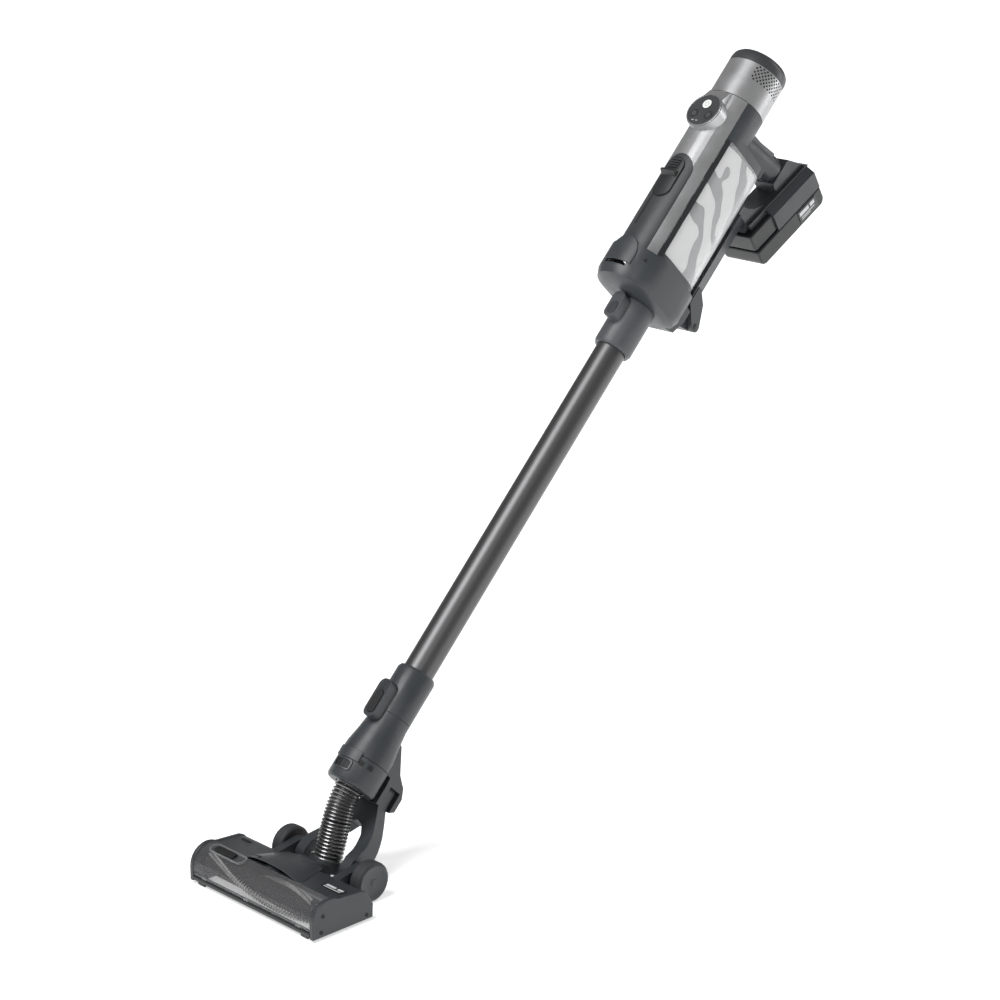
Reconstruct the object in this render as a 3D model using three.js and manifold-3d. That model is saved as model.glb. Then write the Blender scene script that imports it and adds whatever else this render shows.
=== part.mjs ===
// Cordless stick vacuum: handheld unit, wand and motorised floor head.
// Millimetres, +Z up. The origin is on the floor under the middle of the floor head;
// the head's front faces -Y and the wand leans back toward +Y, in the plane X = 0.
import * as THREE from 'three';
import { mergeVertices } from 'three/addons/utils/BufferGeometryUtils.js';
import Module from 'manifold-3d';

const wasm = await Module();
wasm.setup();

// ---------------------------------------------------------------- driving dimensions
const GAP = 0.3;             // fit between neighbouring pieces
const WALL = 2.2;            // moulded shell wall
const LEAN = 44;             // the wand's lean from upright, degrees

const HEAD_WIDTH = 220;      // floor head, over the end plates
const HEAD_REAR = 42;        // from the origin back to the housing's rear wall
const SOLE_HEIGHT = 4;       // the sole's height over the floor
const END_PLATE = 6;
const BRUSH_RADIUS = 19;     // to the bristle tips
const BRUSH_CORE = 12;
const BRUSH_LIFT = BRUSH_RADIUS + 1.5;      // height of the brush axis
const BRUSH_FORWARD = 21;    // the brush axis, in front of the origin
const WINDOW_RADIUS = BRUSH_RADIUS + 5.5;   // outside of the clear window
const HEAD_HEIGHT = BRUSH_LIFT + 18.5;      // top of the housing
const WHEEL_RADIUS = 24;
const WHEEL_WIDTH = 17;
const WHEEL_TRACK = 78;      // outer face of each wheel, from the middle
const AXLE_BACK = 72;        // the tilt axle, behind the origin
const AXLE_RADIUS = 4;
const ROLLER_RADIUS = 3.3;

const YOKE_EYE = 14;         // radius of the yoke's lower eyes
const YOKE_WIDTH = 46;       // half width over the yoke's legs
const YOKE_LEG = 15;         // width of one leg
const WAND_OFFSET = 35;      // the wand's centre line, in front of the tilt axle
const HOSE_RADIUS = 17.5;
const HOSE_WALL = 2;
const HOSE_TILT = 22;        // the hose socket's lean from upright, degrees

const TUBE_RADIUS = 19;
const TUBE_WALL = 1.3;
const TUBE_LENGTH = 462;     // bare tube between the collars
const COLLAR_RADIUS = TUBE_RADIUS + 5.5;
const LOWER_COLLAR = 61;
const UPPER_COLLAR = 64;
const NECK_LENGTH = 95;
const NECK_MOUTH = 83;       // the neck's mouth, up the wand from the tilt axle
const CUFF_RADIUS = COLLAR_RADIUS + 6.5;
const SWIVEL_RISE = 21;      // the swivel pin, up from the neck's mouth

const BODY_RADIUS = 38;      // silver barrel
const BODY_LENGTH = 232;
const BARREL_LIFT = 31;      // the barrel's axis, above the wand's axis
const POD_DROP = 14;         // the pod's rounded belly, below the wand's axis
const POD_LENGTH = BODY_LENGTH - 58;
const CAP_DEPTH = 48;
const CAP_RADIUS = BODY_RADIUS + 6;
const MOTOR_SECTION = 51;
const END_CAP = 19;
const PANEL_RADIUS = 24;
const PANEL_STATION = BODY_LENGTH - 36;     // along the barrel from its front
const PANEL_RISE = 8;
const TRACK_WIDTH = 46;
const TRACK_LENGTH = 136;
const SLIDER_STATION = 100;
const SPINE_TOP = POD_DROP + BODY_RADIUS + 1;   // where the spine leaves the pod's belly
const SPINE_DEEP = 19;
const HINGE_DROP = SPINE_TOP + 33;          // the front cap's hinge, below the wand's axis
const HINGE_BACK = -14;      // and ahead of the barrel's front
const PIN_RADIUS = 2.5;
const GRIP_WIDTH = 15;       // half width of the hand grip
const BATTERY_LENGTH = 136;
const BATTERY_WIDTH = 31;    // half width
const BATTERY_DEPTH = 48;
const BATTERY_TILT = 15.5;   // degrees, from the wand's direction

// ---------------------------------------------------------------- colours
const paint = (color, roughness, metalness = 0) =>
  new THREE.MeshStandardMaterial({ color, roughness, metalness });
const SILVER = paint(0x8f9091, 0.4, 0.35);
const SLATE = paint(0x3d4348, 0.55);
const DARK = paint(0x24272a, 0.6);
const TUBE_FINISH = paint(0x3a3b3d, 0.32, 0.85);
const CLEAR = new THREE.MeshStandardMaterial({
  color: 0xc9cdd0, roughness: 0.15, transparent: true, opacity: 0.35 });
const WHITE = paint(0xe6e6e4, 0.6);
const RUBBER = paint(0x2b2d30, 0.85);
const STEEL = paint(0xa9abad, 0.3, 1);
const BRISTLE = paint(0x8d8f90, 0.9);
const COPPER = paint(0x9a5a36, 0.4, 0.9);
const BOARD = paint(0x2d5a3c, 0.6);
const CELL = paint(0x4e6f8a, 0.5);

// ---------------------------------------------------------------- shape helpers
const rad = THREE.MathUtils.degToRad;
const TAU = Math.PI * 2;
const BARREL_SIDES = 32;     // facets round the barrel; smaller rounds take fewer

function toSolid(geometry) {
  const bare = geometry.clone();
  bare.deleteAttribute('normal');
  bare.deleteAttribute('uv');
  const merged = mergeVertices(bare, 1e-4);
  const index = Array.from(merged.index.array);
  const kept = [];
  for (let i = 0; i < index.length; i += 3) {
    const [a, b, c] = index.slice(i, i + 3);
    if (a !== b && b !== c && c !== a) kept.push(a, b, c);
  }
  return new wasm.Manifold(new wasm.Mesh({
    numProp: 3,
    vertProperties: new Float32Array(merged.attributes.position.array),
    triVerts: new Uint32Array(kept),
  }));
}

function toGeometry(solid) {
  const mesh = solid.getMesh();
  const geometry = new THREE.BufferGeometry();
  const places = new Float32Array(mesh.vertProperties);
  geometry.setAttribute('position', new THREE.BufferAttribute(places, 3));
  geometry.setIndex(new THREE.BufferAttribute(new Uint32Array(mesh.triVerts), 1));
  geometry.computeVertexNormals();
  return geometry;
}

const join = (...parts) => toGeometry(parts.map(toSolid).reduce((a, b) => a.add(b)));
const common = (...parts) => toGeometry(parts.map(toSolid).reduce((a, b) => a.intersect(b)));
const cut = (base, ...tools) =>
  toGeometry(tools.map(toSolid).reduce((a, b) => a.subtract(b), toSolid(base)));

// A closed outline through [u, v] points.
const outline = (points) => new THREE.Shape(points.map(([u, v]) => new THREE.Vector2(u, v)));

function arcPoints(cu, cv, radius, from, to, steps) {
  return Array.from({ length: steps + 1 }, (_, i) => {
    const angle = rad(from + (to - from) * i / steps);
    return [cu + radius * Math.cos(angle), cv + radius * Math.sin(angle)];
  });
}

function roundedBox(u0, u1, v0, v1, radius, steps = 3) {
  return outline([
    ...arcPoints(u1 - radius, v1 - radius, radius, 0, 90, steps),
    ...arcPoints(u0 + radius, v1 - radius, radius, 90, 180, steps),
    ...arcPoints(u0 + radius, v0 + radius, radius, 180, 270, steps),
    ...arcPoints(u1 - radius, v0 + radius, radius, 270, 360, steps),
  ]);
}

// Extrusions: along Z of an (x, y) outline, along X of a (y, z) one, along Y of an (x, z) one.
const plain = { bevelEnabled: false, steps: 1 };
const alongZ = (shape, z0, z1) =>
  new THREE.ExtrudeGeometry(shape, { ...plain, depth: z1 - z0 }).translate(0, 0, z0);

function alongX(shape, x0, x1) {
  const basis = new THREE.Matrix4().makeBasis(
    new THREE.Vector3(0, 1, 0), new THREE.Vector3(0, 0, 1), new THREE.Vector3(1, 0, 0));
  const blank = new THREE.ExtrudeGeometry(shape, { ...plain, depth: x1 - x0 });
  return blank.applyMatrix4(basis).translate(x0, 0, 0);
}

function alongY(shape, y0, y1) {
  const basis = new THREE.Matrix4().makeBasis(
    new THREE.Vector3(1, 0, 0), new THREE.Vector3(0, 0, 1), new THREE.Vector3(0, -1, 0));
  const blank = new THREE.ExtrudeGeometry(shape, { ...plain, depth: y1 - y0 });
  return blank.applyMatrix4(basis).translate(0, y1, 0);
}

// A turned piece about Z, from a closed profile of [radius, z] points in anticlockwise order.
function turned(profile, segments = 24) {
  const points = profile.map(([r, z]) => new THREE.Vector2(Math.max(r, 0), z));
  if (profile[0][0] > 0 || profile.at(-1)[0] > 0) points.push(points[0].clone());
  return new THREE.LatheGeometry(points, segments).rotateX(Math.PI / 2);
}

const rod = (radius, z0, z1, segments = 24) =>
  turned([[0, z0], [radius, z0], [radius, z1], [0, z1]], segments);
const pipe = (outer, inner, z0, z1, segments = 24) =>
  turned([[inner, z0], [outer, z0], [outer, z1], [inner, z1]], segments);
const box = (x0, x1, y0, y1, z0, z1) =>
  new THREE.BoxGeometry(x1 - x0, y1 - y0, z1 - z0)
    .translate((x0 + x1) / 2, (y0 + y1) / 2, (z0 + z1) / 2);
const rodX = (radius, x0, x1, y, z, segments = 16) =>
  rod(radius, x0, x1, segments).rotateY(Math.PI / 2).translate(0, y, z);
const rodY = (radius, y0, y1, x, z, segments = 16) =>
  rod(radius, -y1, -y0, segments).rotateX(Math.PI / 2).translate(x, 0, z);
const mirrored = (side, a, b) => (side > 0 ? [a, b] : [-b, -a]);

function piece(group, name, geometry, material, position = [0, 0, 0]) {
  const mesh = new THREE.Mesh(geometry, material);
  mesh.name = name;
  mesh.position.set(...position);
  group.add(mesh);
  return mesh;
}

// ---------------------------------------------------------------- frames
const vacuum = new THREE.Group();
const head = new THREE.Group();
const leaning = new THREE.Group();      // origin on the tilt axle, Z up the wand
leaning.position.set(0, AXLE_BACK, WHEEL_RADIUS);
leaning.rotation.x = -rad(LEAN);
const wand = new THREE.Group();         // the same, with Z on the wand's centre line
wand.position.y = -WAND_OFFSET;
leaning.add(wand);
vacuum.add(head, leaning);

const NECK_TOP = NECK_MOUTH + NECK_LENGTH;
const LOWER_RIM = NECK_TOP + LOWER_COLLAR;
const UPPER_RIM = LOWER_RIM + TUBE_LENGTH;
const NOSE = UPPER_RIM + UPPER_COLLAR;
const unit = new THREE.Group();         // origin where the barrel meets the front cap
unit.position.z = NOSE + CAP_DEPTH;
wand.add(unit);

// ================================================================ FLOOR HEAD
const HALF = HEAD_WIDTH / 2;
const INNER = HALF - END_PLATE - GAP;
const BRUSH_Y = -BRUSH_FORWARD;

// Side outline shared by the end plates and the housing: window arc, flat top, sloping rear.
const sideOutline = (inset = 0) => outline([
  [BRUSH_Y - WINDOW_RADIUS + inset, SOLE_HEIGHT + inset],
  [HEAD_REAR - 1 - inset, SOLE_HEIGHT + inset],
  [HEAD_REAR - inset, HEAD_HEIGHT * 0.5],
  [HEAD_REAR - 10 - inset, HEAD_HEIGHT - 3 - inset],
  [HEAD_REAR - 17 - inset, HEAD_HEIGHT - inset],
  ...arcPoints(BRUSH_Y, BRUSH_LIFT, WINDOW_RADIUS - inset, 60, 180, 8),
]);

// The raised cowl over the air duct; the duct's own outline is the same, drawn in by a wall.
const COWL_HALF = 22;
const COWL_TOP = HEAD_HEIGHT + 8;
const cowlOutline = (inset) => outline([
  [BRUSH_Y + 4 - inset * 2, 24 - inset * 0.5], [BRUSH_Y + 4 - inset * 2, COWL_TOP - inset],
  [10 - inset * 0.5, COWL_TOP - inset], [34 - inset * 0.5, COWL_TOP - 4 - inset],
  [AXLE_BACK - 20 - inset, 33 - inset * 0.8], [AXLE_BACK - 15 - inset * 0.3, 25 - inset * 0.3],
  [AXLE_BACK - 18 - inset * 0.5, 12 + inset * 0.8], [HEAD_REAR - 6 - inset * 1.6, 12 + inset * 0.8],
  [HEAD_REAR - 6 - inset * 1.6, 24 - inset * 0.5],
]);
const SOCKET_Y = AXLE_BACK - 4;         // mouth of the hose socket
const SOCKET_Z = WHEEL_RADIUS + 1;
const inSocket = (geometry) => geometry.rotateX(-rad(HOSE_TILT)).translate(0, SOCKET_Y, SOCKET_Z);

function makeHousing() {
  const shell = alongX(sideOutline(), -INNER, INNER);
  const hollow = alongX(sideOutline(WALL), -INNER - 1, INNER + 1);
  const ahead = BRUSH_Y - WINDOW_RADIUS - 2;
  const front = box(-HALF, HALF, ahead, BRUSH_Y + 4, -1, BRUSH_LIFT + WINDOW_RADIUS + 2);
  const under = box(-HALF, HALF, -HALF, HALF, -1, SOLE_HEIGHT + WALL + GAP);
  const arch = outline([[-COWL_HALF, 0], [COWL_HALF, 0],
    ...arcPoints(0, COWL_TOP - COWL_HALF + 1, COWL_HALF - 1, 0, 180, 8)]);
  const cowl = common(alongX(cowlOutline(0), -COWL_HALF, COWL_HALF), alongY(arch, -60, 90));
  const duct = alongX(cowlOutline(4), -COWL_HALF + 5, COWL_HALF - 5);
  const ductMouth = box(-COWL_HALF + 5, COWL_HALF - 5, HEAD_REAR - 12, HEAD_REAR - 3, 15, 24);
  const arms = [1, -1].map((side) => {
    const [x0, x1] = mirrored(side, YOKE_WIDTH + 1, WHEEL_TRACK - WHEEL_WIDTH - 2);
    return alongX(outline([
      [HEAD_REAR - 6, 10], ...arcPoints(AXLE_BACK, WHEEL_RADIUS, YOKE_EYE + 1, 250, 450, 8),
      [HEAD_REAR - 6, HEAD_HEIGHT - 6],
    ]), x0, x1);
  });
  const socket = inSocket(pipe(HOSE_RADIUS + 4.5, HOSE_RADIUS + 0.9, -9, 5, 20));
  const socketClear = inSocket(rod(HOSE_RADIUS + 0.9, -9, 40, 20));
  const bores = rodX(AXLE_RADIUS + GAP, -HALF, HALF, AXLE_BACK, WHEEL_RADIUS);
  const chamber = rodX(BRUSH_RADIUS + 1.5, -HALF, HALF, BRUSH_Y, BRUSH_LIFT, 20);
  const body = cut(shell, hollow, front, under);
  return cut(join(body, cowl, ...arms, socket), duct, ductMouth, socketClear, chamber, bores);
}
piece(head, 'head_housing', makeHousing(), SLATE);

// ---- end plates with the brush bearings, one at each end of the brush chamber
const BEARING_RADIUS = 7;
const BEARING_LENGTH = END_PLATE - 3;
const SHAFT_RADIUS = 4;
for (const [side, name] of [[1, 'right'], [-1, 'left']]) {
  const plate = alongX(sideOutline(-0.8), ...mirrored(side, INNER + GAP, HALF));
  const [s0, s1] = mirrored(side, INNER, HALF - 2.5);
  const bearingSeat = rodX(BEARING_RADIUS + GAP, s0, s1, BRUSH_Y, BRUSH_LIFT);
  piece(head, `end_plate_${name}`, cut(plate, bearingSeat), SLATE);
  const [b0, b1] = mirrored(side, INNER + GAP, INNER + GAP + BEARING_LENGTH);
  piece(head, `brush_bearing_${name}`,
    pipe(BEARING_RADIUS, SHAFT_RADIUS + GAP, b0, b1, 16).rotateY(Math.PI / 2), STEEL,
    [0, BRUSH_Y, BRUSH_LIFT]);
}

// ---- clear window over the brush, and its sliding latch
const WINDOW_FROM = 82;
const WINDOW_TO = 202;
function windowArc(outer, inner, from, to, steps) {
  return outline([
    ...arcPoints(0, 0, outer, from, to, steps),
    ...arcPoints(0, 0, inner, to, from, steps),
  ]);
}
piece(head, 'brush_window',
  alongX(windowArc(WINDOW_RADIUS, WINDOW_RADIUS - 2, WINDOW_FROM, WINDOW_TO, 12), -INNER, INNER),
  CLEAR, [0, BRUSH_Y, BRUSH_LIFT]);
const LATCH_LEFT = 20 - INNER;
piece(head, 'window_latch',
  alongX(windowArc(WINDOW_RADIUS + 2.6, WINDOW_RADIUS + GAP, 92, 112, 4), LATCH_LEFT, LATCH_LEFT + 34),
  DARK, [0, BRUSH_Y, BRUSH_LIFT]);

// ---- front strip with its two small rollers
const STRIP_Y = BRUSH_Y - WINDOW_RADIUS;
const STRIP_Z = SOLE_HEIGHT + 1;
const STRIP_TOP = BRUSH_LIFT + WINDOW_RADIUS * Math.sin(rad(WINDOW_TO)) - 0.6;
const ROLLER_X = HALF - 18;
const rollerAt = (side, radius, half) =>
  rodX(radius, side * ROLLER_X - half, side * ROLLER_X + half, STRIP_Y + 4, ROLLER_RADIUS, 12);
piece(head, 'front_strip',
  cut(alongX(roundedBox(STRIP_Y - 1, STRIP_Y + 7, STRIP_Z, STRIP_TOP, 1.5), -INNER, INNER),
    rollerAt(1, ROLLER_RADIUS + 0.4, 5.4), rollerAt(-1, ROLLER_RADIUS + 0.4, 5.4)), DARK);
for (const [side, name] of [[1, 'right'], [-1, 'left']]) {
  piece(head, `front_roller_${name}`, rodX(ROLLER_RADIUS, -5, 5, 0, 0, 12), RUBBER,
    [side * ROLLER_X, STRIP_Y + 4, ROLLER_RADIUS]);
}

// ---- sole plate, a frame round the suction mouth
const MOUTH_HALF = BRUSH_RADIUS * 0.72;
piece(head, 'sole_plate', cut(
  box(-INNER, INNER, STRIP_Y + 7 + GAP, HEAD_REAR - 4, SOLE_HEIGHT, SOLE_HEIGHT + WALL),
  box(-INNER + 8, INNER - 8, BRUSH_Y - MOUTH_HALF, BRUSH_Y + MOUTH_HALF, 0, 12)), DARK);

// ---- brush roll: core, two spiral strips, pulley, belt and motor
const CORE_HALF = INNER - 5;
const brush = new THREE.Group();
brush.position.set(0, BRUSH_Y, BRUSH_LIFT);
head.add(brush);
piece(brush, 'brush_core', join(
  rodX(BRUSH_CORE, -CORE_HALF, CORE_HALF - 9, 0, 0, 20),
  rodX(SHAFT_RADIUS, -INNER - 3, INNER + 3, 0, 0, 12)), DARK);
const SPIRAL_TURN = 200;
function spiralStrip(start) {
  const strip = new THREE.ExtrudeGeometry(
    outline([
      [BRUSH_CORE + GAP, -2.2], [BRUSH_RADIUS, -2.6], [BRUSH_RADIUS, 2.6], [BRUSH_CORE + GAP, 2.2],
    ]),
    { bevelEnabled: false, depth: 2 * CORE_HALF - 20, steps: 24 });
  const place = strip.attributes.position;
  for (let i = 0; i < place.count; i += 1) {
    const turn = rad(start + SPIRAL_TURN * place.getZ(i) / (2 * CORE_HALF));
    const [u, v] = [place.getX(i), place.getY(i)];
    place.setXY(i, u * Math.cos(turn) - v * Math.sin(turn), u * Math.sin(turn) + v * Math.cos(turn));
  }
  return strip.rotateY(Math.PI / 2).translate(-CORE_HALF + 5, 0, 0);
}
piece(brush, 'bristle_strip_1', spiralStrip(20), BRISTLE);
piece(brush, 'bristle_strip_2', spiralStrip(200), BRISTLE);

const BELT_X = CORE_HALF - 4.5;
const DRIVE_Y = 18;
const DRIVE_Z = 21;
const BIG_PULLEY = 10;
const SMALL_PULLEY = 6;
const MOTOR_SHAFT = 2;
const BRUSH_MOTOR_RADIUS = 13.5;
const BRUSH_MOTOR_INSET = 6;    // from the belt back to the motor's front face
const BRUSH_MOTOR_LENGTH = 56;
const pulley = (radius, bore) => pipe(radius, bore + GAP, -3.5, 3.5, 20).rotateY(Math.PI / 2);
piece(brush, 'brush_pulley', pulley(BIG_PULLEY, SHAFT_RADIUS), STEEL, [BELT_X, 0, 0]);
const drive = new THREE.Group();
drive.position.set(0, DRIVE_Y, DRIVE_Z);
head.add(drive);
piece(drive, 'motor_pulley', pulley(SMALL_PULLEY, MOTOR_SHAFT), STEEL, [BELT_X, 0, 0]);
piece(drive, 'brush_motor', join(
  rodX(BRUSH_MOTOR_RADIUS, BELT_X - BRUSH_MOTOR_INSET - BRUSH_MOTOR_LENGTH,
    BELT_X - BRUSH_MOTOR_INSET, 0, 0, 20),
  rodX(MOTOR_SHAFT, BELT_X - BRUSH_MOTOR_INSET - 2, BELT_X + 3, 0, 0, 12)), STEEL);
function makeBelt() {
  const ring = (grow) => outline([
    ...arcPoints(BRUSH_Y, BRUSH_LIFT, BIG_PULLEY + grow, 95, 265, 8),
    ...arcPoints(DRIVE_Y, DRIVE_Z, SMALL_PULLEY + grow, -85, 85, 8),
  ]);
  return cut(alongX(ring(2), BELT_X - 2.5, BELT_X + 2.5), alongX(ring(GAP), BELT_X - 4, BELT_X + 4));
}
piece(head, 'drive_belt', makeBelt(), RUBBER);

// ---- wheels and stub axles
for (const [side, name] of [[1, 'right'], [-1, 'left']]) {
  const [w0, w1] = mirrored(side, WHEEL_TRACK - WHEEL_WIDTH, WHEEL_TRACK);
  const rim = 2.5;
  const profile = [
    [0, w0], [WHEEL_RADIUS - rim, w0], [WHEEL_RADIUS, w0 + rim],
    [WHEEL_RADIUS, w1 - rim], [WHEEL_RADIUS - rim, w1], [0, w1],
  ];
  piece(head, `wheel_${name}`,
    cut(turned(profile, 28).rotateY(Math.PI / 2),
      rodX(AXLE_RADIUS + GAP, ...mirrored(side, WHEEL_TRACK - WHEEL_WIDTH - 1, WHEEL_TRACK - 3), 0, 0)),
    RUBBER, [0, AXLE_BACK, WHEEL_RADIUS]);
  const [a0, a1] = mirrored(side, YOKE_WIDTH - YOKE_LEG - 1, WHEEL_TRACK - 3.5);
  piece(head, `axle_${name}`, rodX(AXLE_RADIUS, a0, a1, 0, 0), STEEL, [0, AXLE_BACK, WHEEL_RADIUS]);
}

// ================================================================ YOKE AND HOSE
const SWIVEL_Z = NECK_MOUTH + SWIVEL_RISE;
const SWIVEL_RADIUS = 4;
const BOSS_RADIUS = 15;
const BOSS_FRONT = WAND_OFFSET - 29.5;  // front of the yoke's boss, behind the axle's plane
const BOSS_BACK = BOSS_FRONT + 15.5;
function makeYoke() {
  const inner = YOKE_WIDTH - YOKE_LEG;
  const right = [
    [BOSS_RADIUS, SWIVEL_Z - 12], [BOSS_RADIUS + 1, SWIVEL_Z - 20], [YOKE_WIDTH * 0.68, SWIVEL_Z * 0.54],
    [YOKE_WIDTH * 0.86, SWIVEL_Z * 0.35], [YOKE_WIDTH - 1, SWIVEL_Z * 0.17], [YOKE_WIDTH, -YOKE_EYE - 1],
    [inner, -YOKE_EYE - 1], [inner, 8], [inner * 0.9, SWIVEL_Z * 0.22], [inner * 0.6, SWIVEL_Z * 0.42],
    [inner * 0.3, SWIVEL_Z * 0.54],
  ];
  const frontView = outline([
    ...right, [0, SWIVEL_Z * 0.57],
    ...right.map(([x, z]) => [-x, z]).reverse(),
    ...arcPoints(0, SWIVEL_Z, BOSS_RADIUS, 180, 0, 12),
  ]);
  const sideView = outline([
    [BOSS_BACK, SWIVEL_Z + 20], [BOSS_BACK, SWIVEL_Z - 14], [BOSS_BACK + 1.5, SWIVEL_Z * 0.68],
    [BOSS_BACK + 1.5, SWIVEL_Z * 0.45], [BOSS_BACK - 2, SWIVEL_Z * 0.25],
    ...arcPoints(0, 0, YOKE_EYE, 20, -180, 10),
    [-YOKE_EYE + 1, 12], [-2, SWIVEL_Z * 0.3], [BOSS_FRONT - 2, SWIVEL_Z * 0.45],
    [BOSS_FRONT, SWIVEL_Z * 0.7], [BOSS_FRONT, SWIVEL_Z + 20],
  ].reverse());
  const blank = common(alongY(frontView, -40, 60), alongX(sideView, -YOKE_WIDTH - 1, YOKE_WIDTH + 1));
  return cut(blank,
    rodY(SWIVEL_RADIUS + GAP, -10, 60, 0, SWIVEL_Z),
    rodX(AXLE_RADIUS + GAP, -80, 80, 0, 0));
}
piece(leaning, 'yoke', makeYoke(), SLATE);

// The hose runs from the neck's mouth to the socket beside the tilt axle, in two lengths.
const HOSE_EASE = 40;        // how far the hose keeps its end directions
const socketPoint = new THREE.Vector3(0, SOCKET_Y, SOCKET_Z);
leaning.updateWorldMatrix(true, true);
const mouthPoint = wand.localToWorld(new THREE.Vector3(0, 0, NECK_MOUTH + 6));
const belowMouth = wand.localToWorld(new THREE.Vector3(0, 0, NECK_MOUTH - 30));
const aboveSocket = new THREE.Vector3(0, Math.sin(rad(HOSE_TILT)), Math.cos(rad(HOSE_TILT)))
  .multiplyScalar(HOSE_EASE).add(socketPoint);
const hosePath = new THREE.CubicBezierCurve3(socketPoint, aboveSocket, belowMouth, mouthPoint);
const HOSE_LINKS = 6;
const LINK_OVERRUN = 1.5;    // each straight link runs on past its bends, to close the next
function hoseLength(from, to) {
  const points = Array.from({ length: HOSE_LINKS + 1 }, (_, i) =>
    hosePath.getPoint(from + (to - from) * i / HOSE_LINKS));
  const links = (radius, pastEnds) => join(...points.slice(1).map((point, i) => {
    const along = point.clone().sub(points[i]);
    const before = i === 0 ? pastEnds : LINK_OVERRUN;
    const after = i === HOSE_LINKS - 1 ? pastEnds : LINK_OVERRUN;
    return rod(radius, -before, along.length() + after, 16)
      .rotateX(-Math.atan2(along.y, along.z)).translate(...points[i]);
  }));
  return cut(links(HOSE_RADIUS, 0), links(HOSE_RADIUS - HOSE_WALL, 1));
}
piece(vacuum, 'hose_lower', hoseLength(0.02, 0.495), STEEL);
piece(vacuum, 'hose_upper', hoseLength(0.505, 0.98), STEEL);

// ================================================================ NECK
const CUFF_TOP = NECK_MOUTH + 35;
function makeNeck() {
  const shell = turned([
    [HOSE_RADIUS + 3, CUFF_TOP + GAP], [CUFF_RADIUS, CUFF_TOP + GAP], [CUFF_RADIUS - 0.5, CUFF_TOP + 12],
    [COLLAR_RADIUS + 2.5, NECK_TOP - 28], [COLLAR_RADIUS, NECK_TOP - 8], [COLLAR_RADIUS, NECK_TOP],
    [TUBE_RADIUS - 1.5, NECK_TOP], [TUBE_RADIUS - 1.5, NECK_TOP + 18], [TUBE_RADIUS - 4, NECK_TOP + 18],
    [TUBE_RADIUS - 4, NECK_TOP - 30], [HOSE_RADIUS + 3, CUFF_TOP + 8],
  ]);
  const back = CUFF_RADIUS + 0.8;
  const tailBack = 66;         // rear face of the tail, behind the wand's centre line
  const tail = common(
    alongX(outline([
      [10, NECK_TOP - 13], [10, CUFF_TOP + GAP], [back, CUFF_TOP + GAP], [back, NECK_MOUTH + 1],
      [tailBack - 8, NECK_MOUTH + 1], [tailBack, NECK_MOUTH + 6], [tailBack, SWIVEL_Z + 2],
      [tailBack - 6, SWIVEL_Z + 14],
      [46, SWIVEL_Z + 24], [39, SWIVEL_Z + 34], [26, NECK_TOP - 22],
    ]), -22, 22),
    alongY(outline([
      [-19.5, NECK_MOUTH - 1], [19.5, NECK_MOUTH - 1], [19.5, SWIVEL_Z + 4], [16, SWIVEL_Z + 31],
      [12, NECK_TOP], [-12, NECK_TOP], [-16, SWIVEL_Z + 31], [-19.5, SWIVEL_Z + 4],
    ]), 0, tailBack + 4),
  );
  const bossFront = WAND_OFFSET + BOSS_FRONT - 1;
  const bossBack = WAND_OFFSET + BOSS_BACK + 1;
  const room = rodY(BOSS_RADIUS + 1.3, bossFront, bossBack, 0, SWIVEL_Z, 20);
  const swing = box(-30, 30, bossFront, bossBack + 1.6, 20, SWIVEL_Z + 6);
  const airway = rod(TUBE_RADIUS - 4, CUFF_TOP - 5, NECK_TOP + 30);
  const hoseRoom = rod(HOSE_RADIUS + 3, CUFF_TOP - 5, CUFF_TOP + 8);
  const pinHole = rodY(SWIVEL_RADIUS + GAP, back - 1, tailBack - 4, 0, SWIVEL_Z);
  return cut(join(shell, tail), room, swing, airway, hoseRoom, pinHole);
}
piece(wand, 'neck_shell', makeNeck(), SLATE);
piece(wand, 'neck_cuff', turned([
  [HOSE_RADIUS + 1, NECK_MOUTH], [CUFF_RADIUS - 2, NECK_MOUTH], [CUFF_RADIUS, NECK_MOUTH + 4],
  [CUFF_RADIUS, CUFF_TOP], [HOSE_RADIUS + 3, CUFF_TOP], [HOSE_RADIUS + 3, NECK_MOUTH + 14],
  [HOSE_RADIUS + 1, NECK_MOUTH + 12],
]), SLATE);
piece(wand, 'swivel_pin', rodY(SWIVEL_RADIUS, CUFF_RADIUS + 2, 61, 0, 0), STEEL, [0, 0, SWIVEL_Z]);

// ================================================================ WAND
const BORE = TUBE_RADIUS + GAP;
const SPIGOT = TUBE_RADIUS - 1.5;
const SOCKET_DEPTH = 35;     // how far the tube reaches into each collar
// A collar's latch housing stands on the collar's front, with a pocket for its button.
function latchHousing(z0, z1, depth) {
  return alongY(roundedBox(-9.5, 9.5, z0, z1, 8, 4), -COLLAR_RADIUS - depth, -COLLAR_RADIUS + 6);
}
const latchPocket = (z0, z1, depth) =>
  alongY(roundedBox(-6 - GAP, 6 + GAP, z0 - GAP, z1 + GAP, 5 + GAP),
    -COLLAR_RADIUS - depth - 1, -COLLAR_RADIUS - depth + 7);
const latchButton = (z0, z1, depth) =>
  alongY(roundedBox(-6, 6, z0, z1, 5), -COLLAR_RADIUS - depth - 1, -COLLAR_RADIUS - depth + 4.5);

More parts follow.
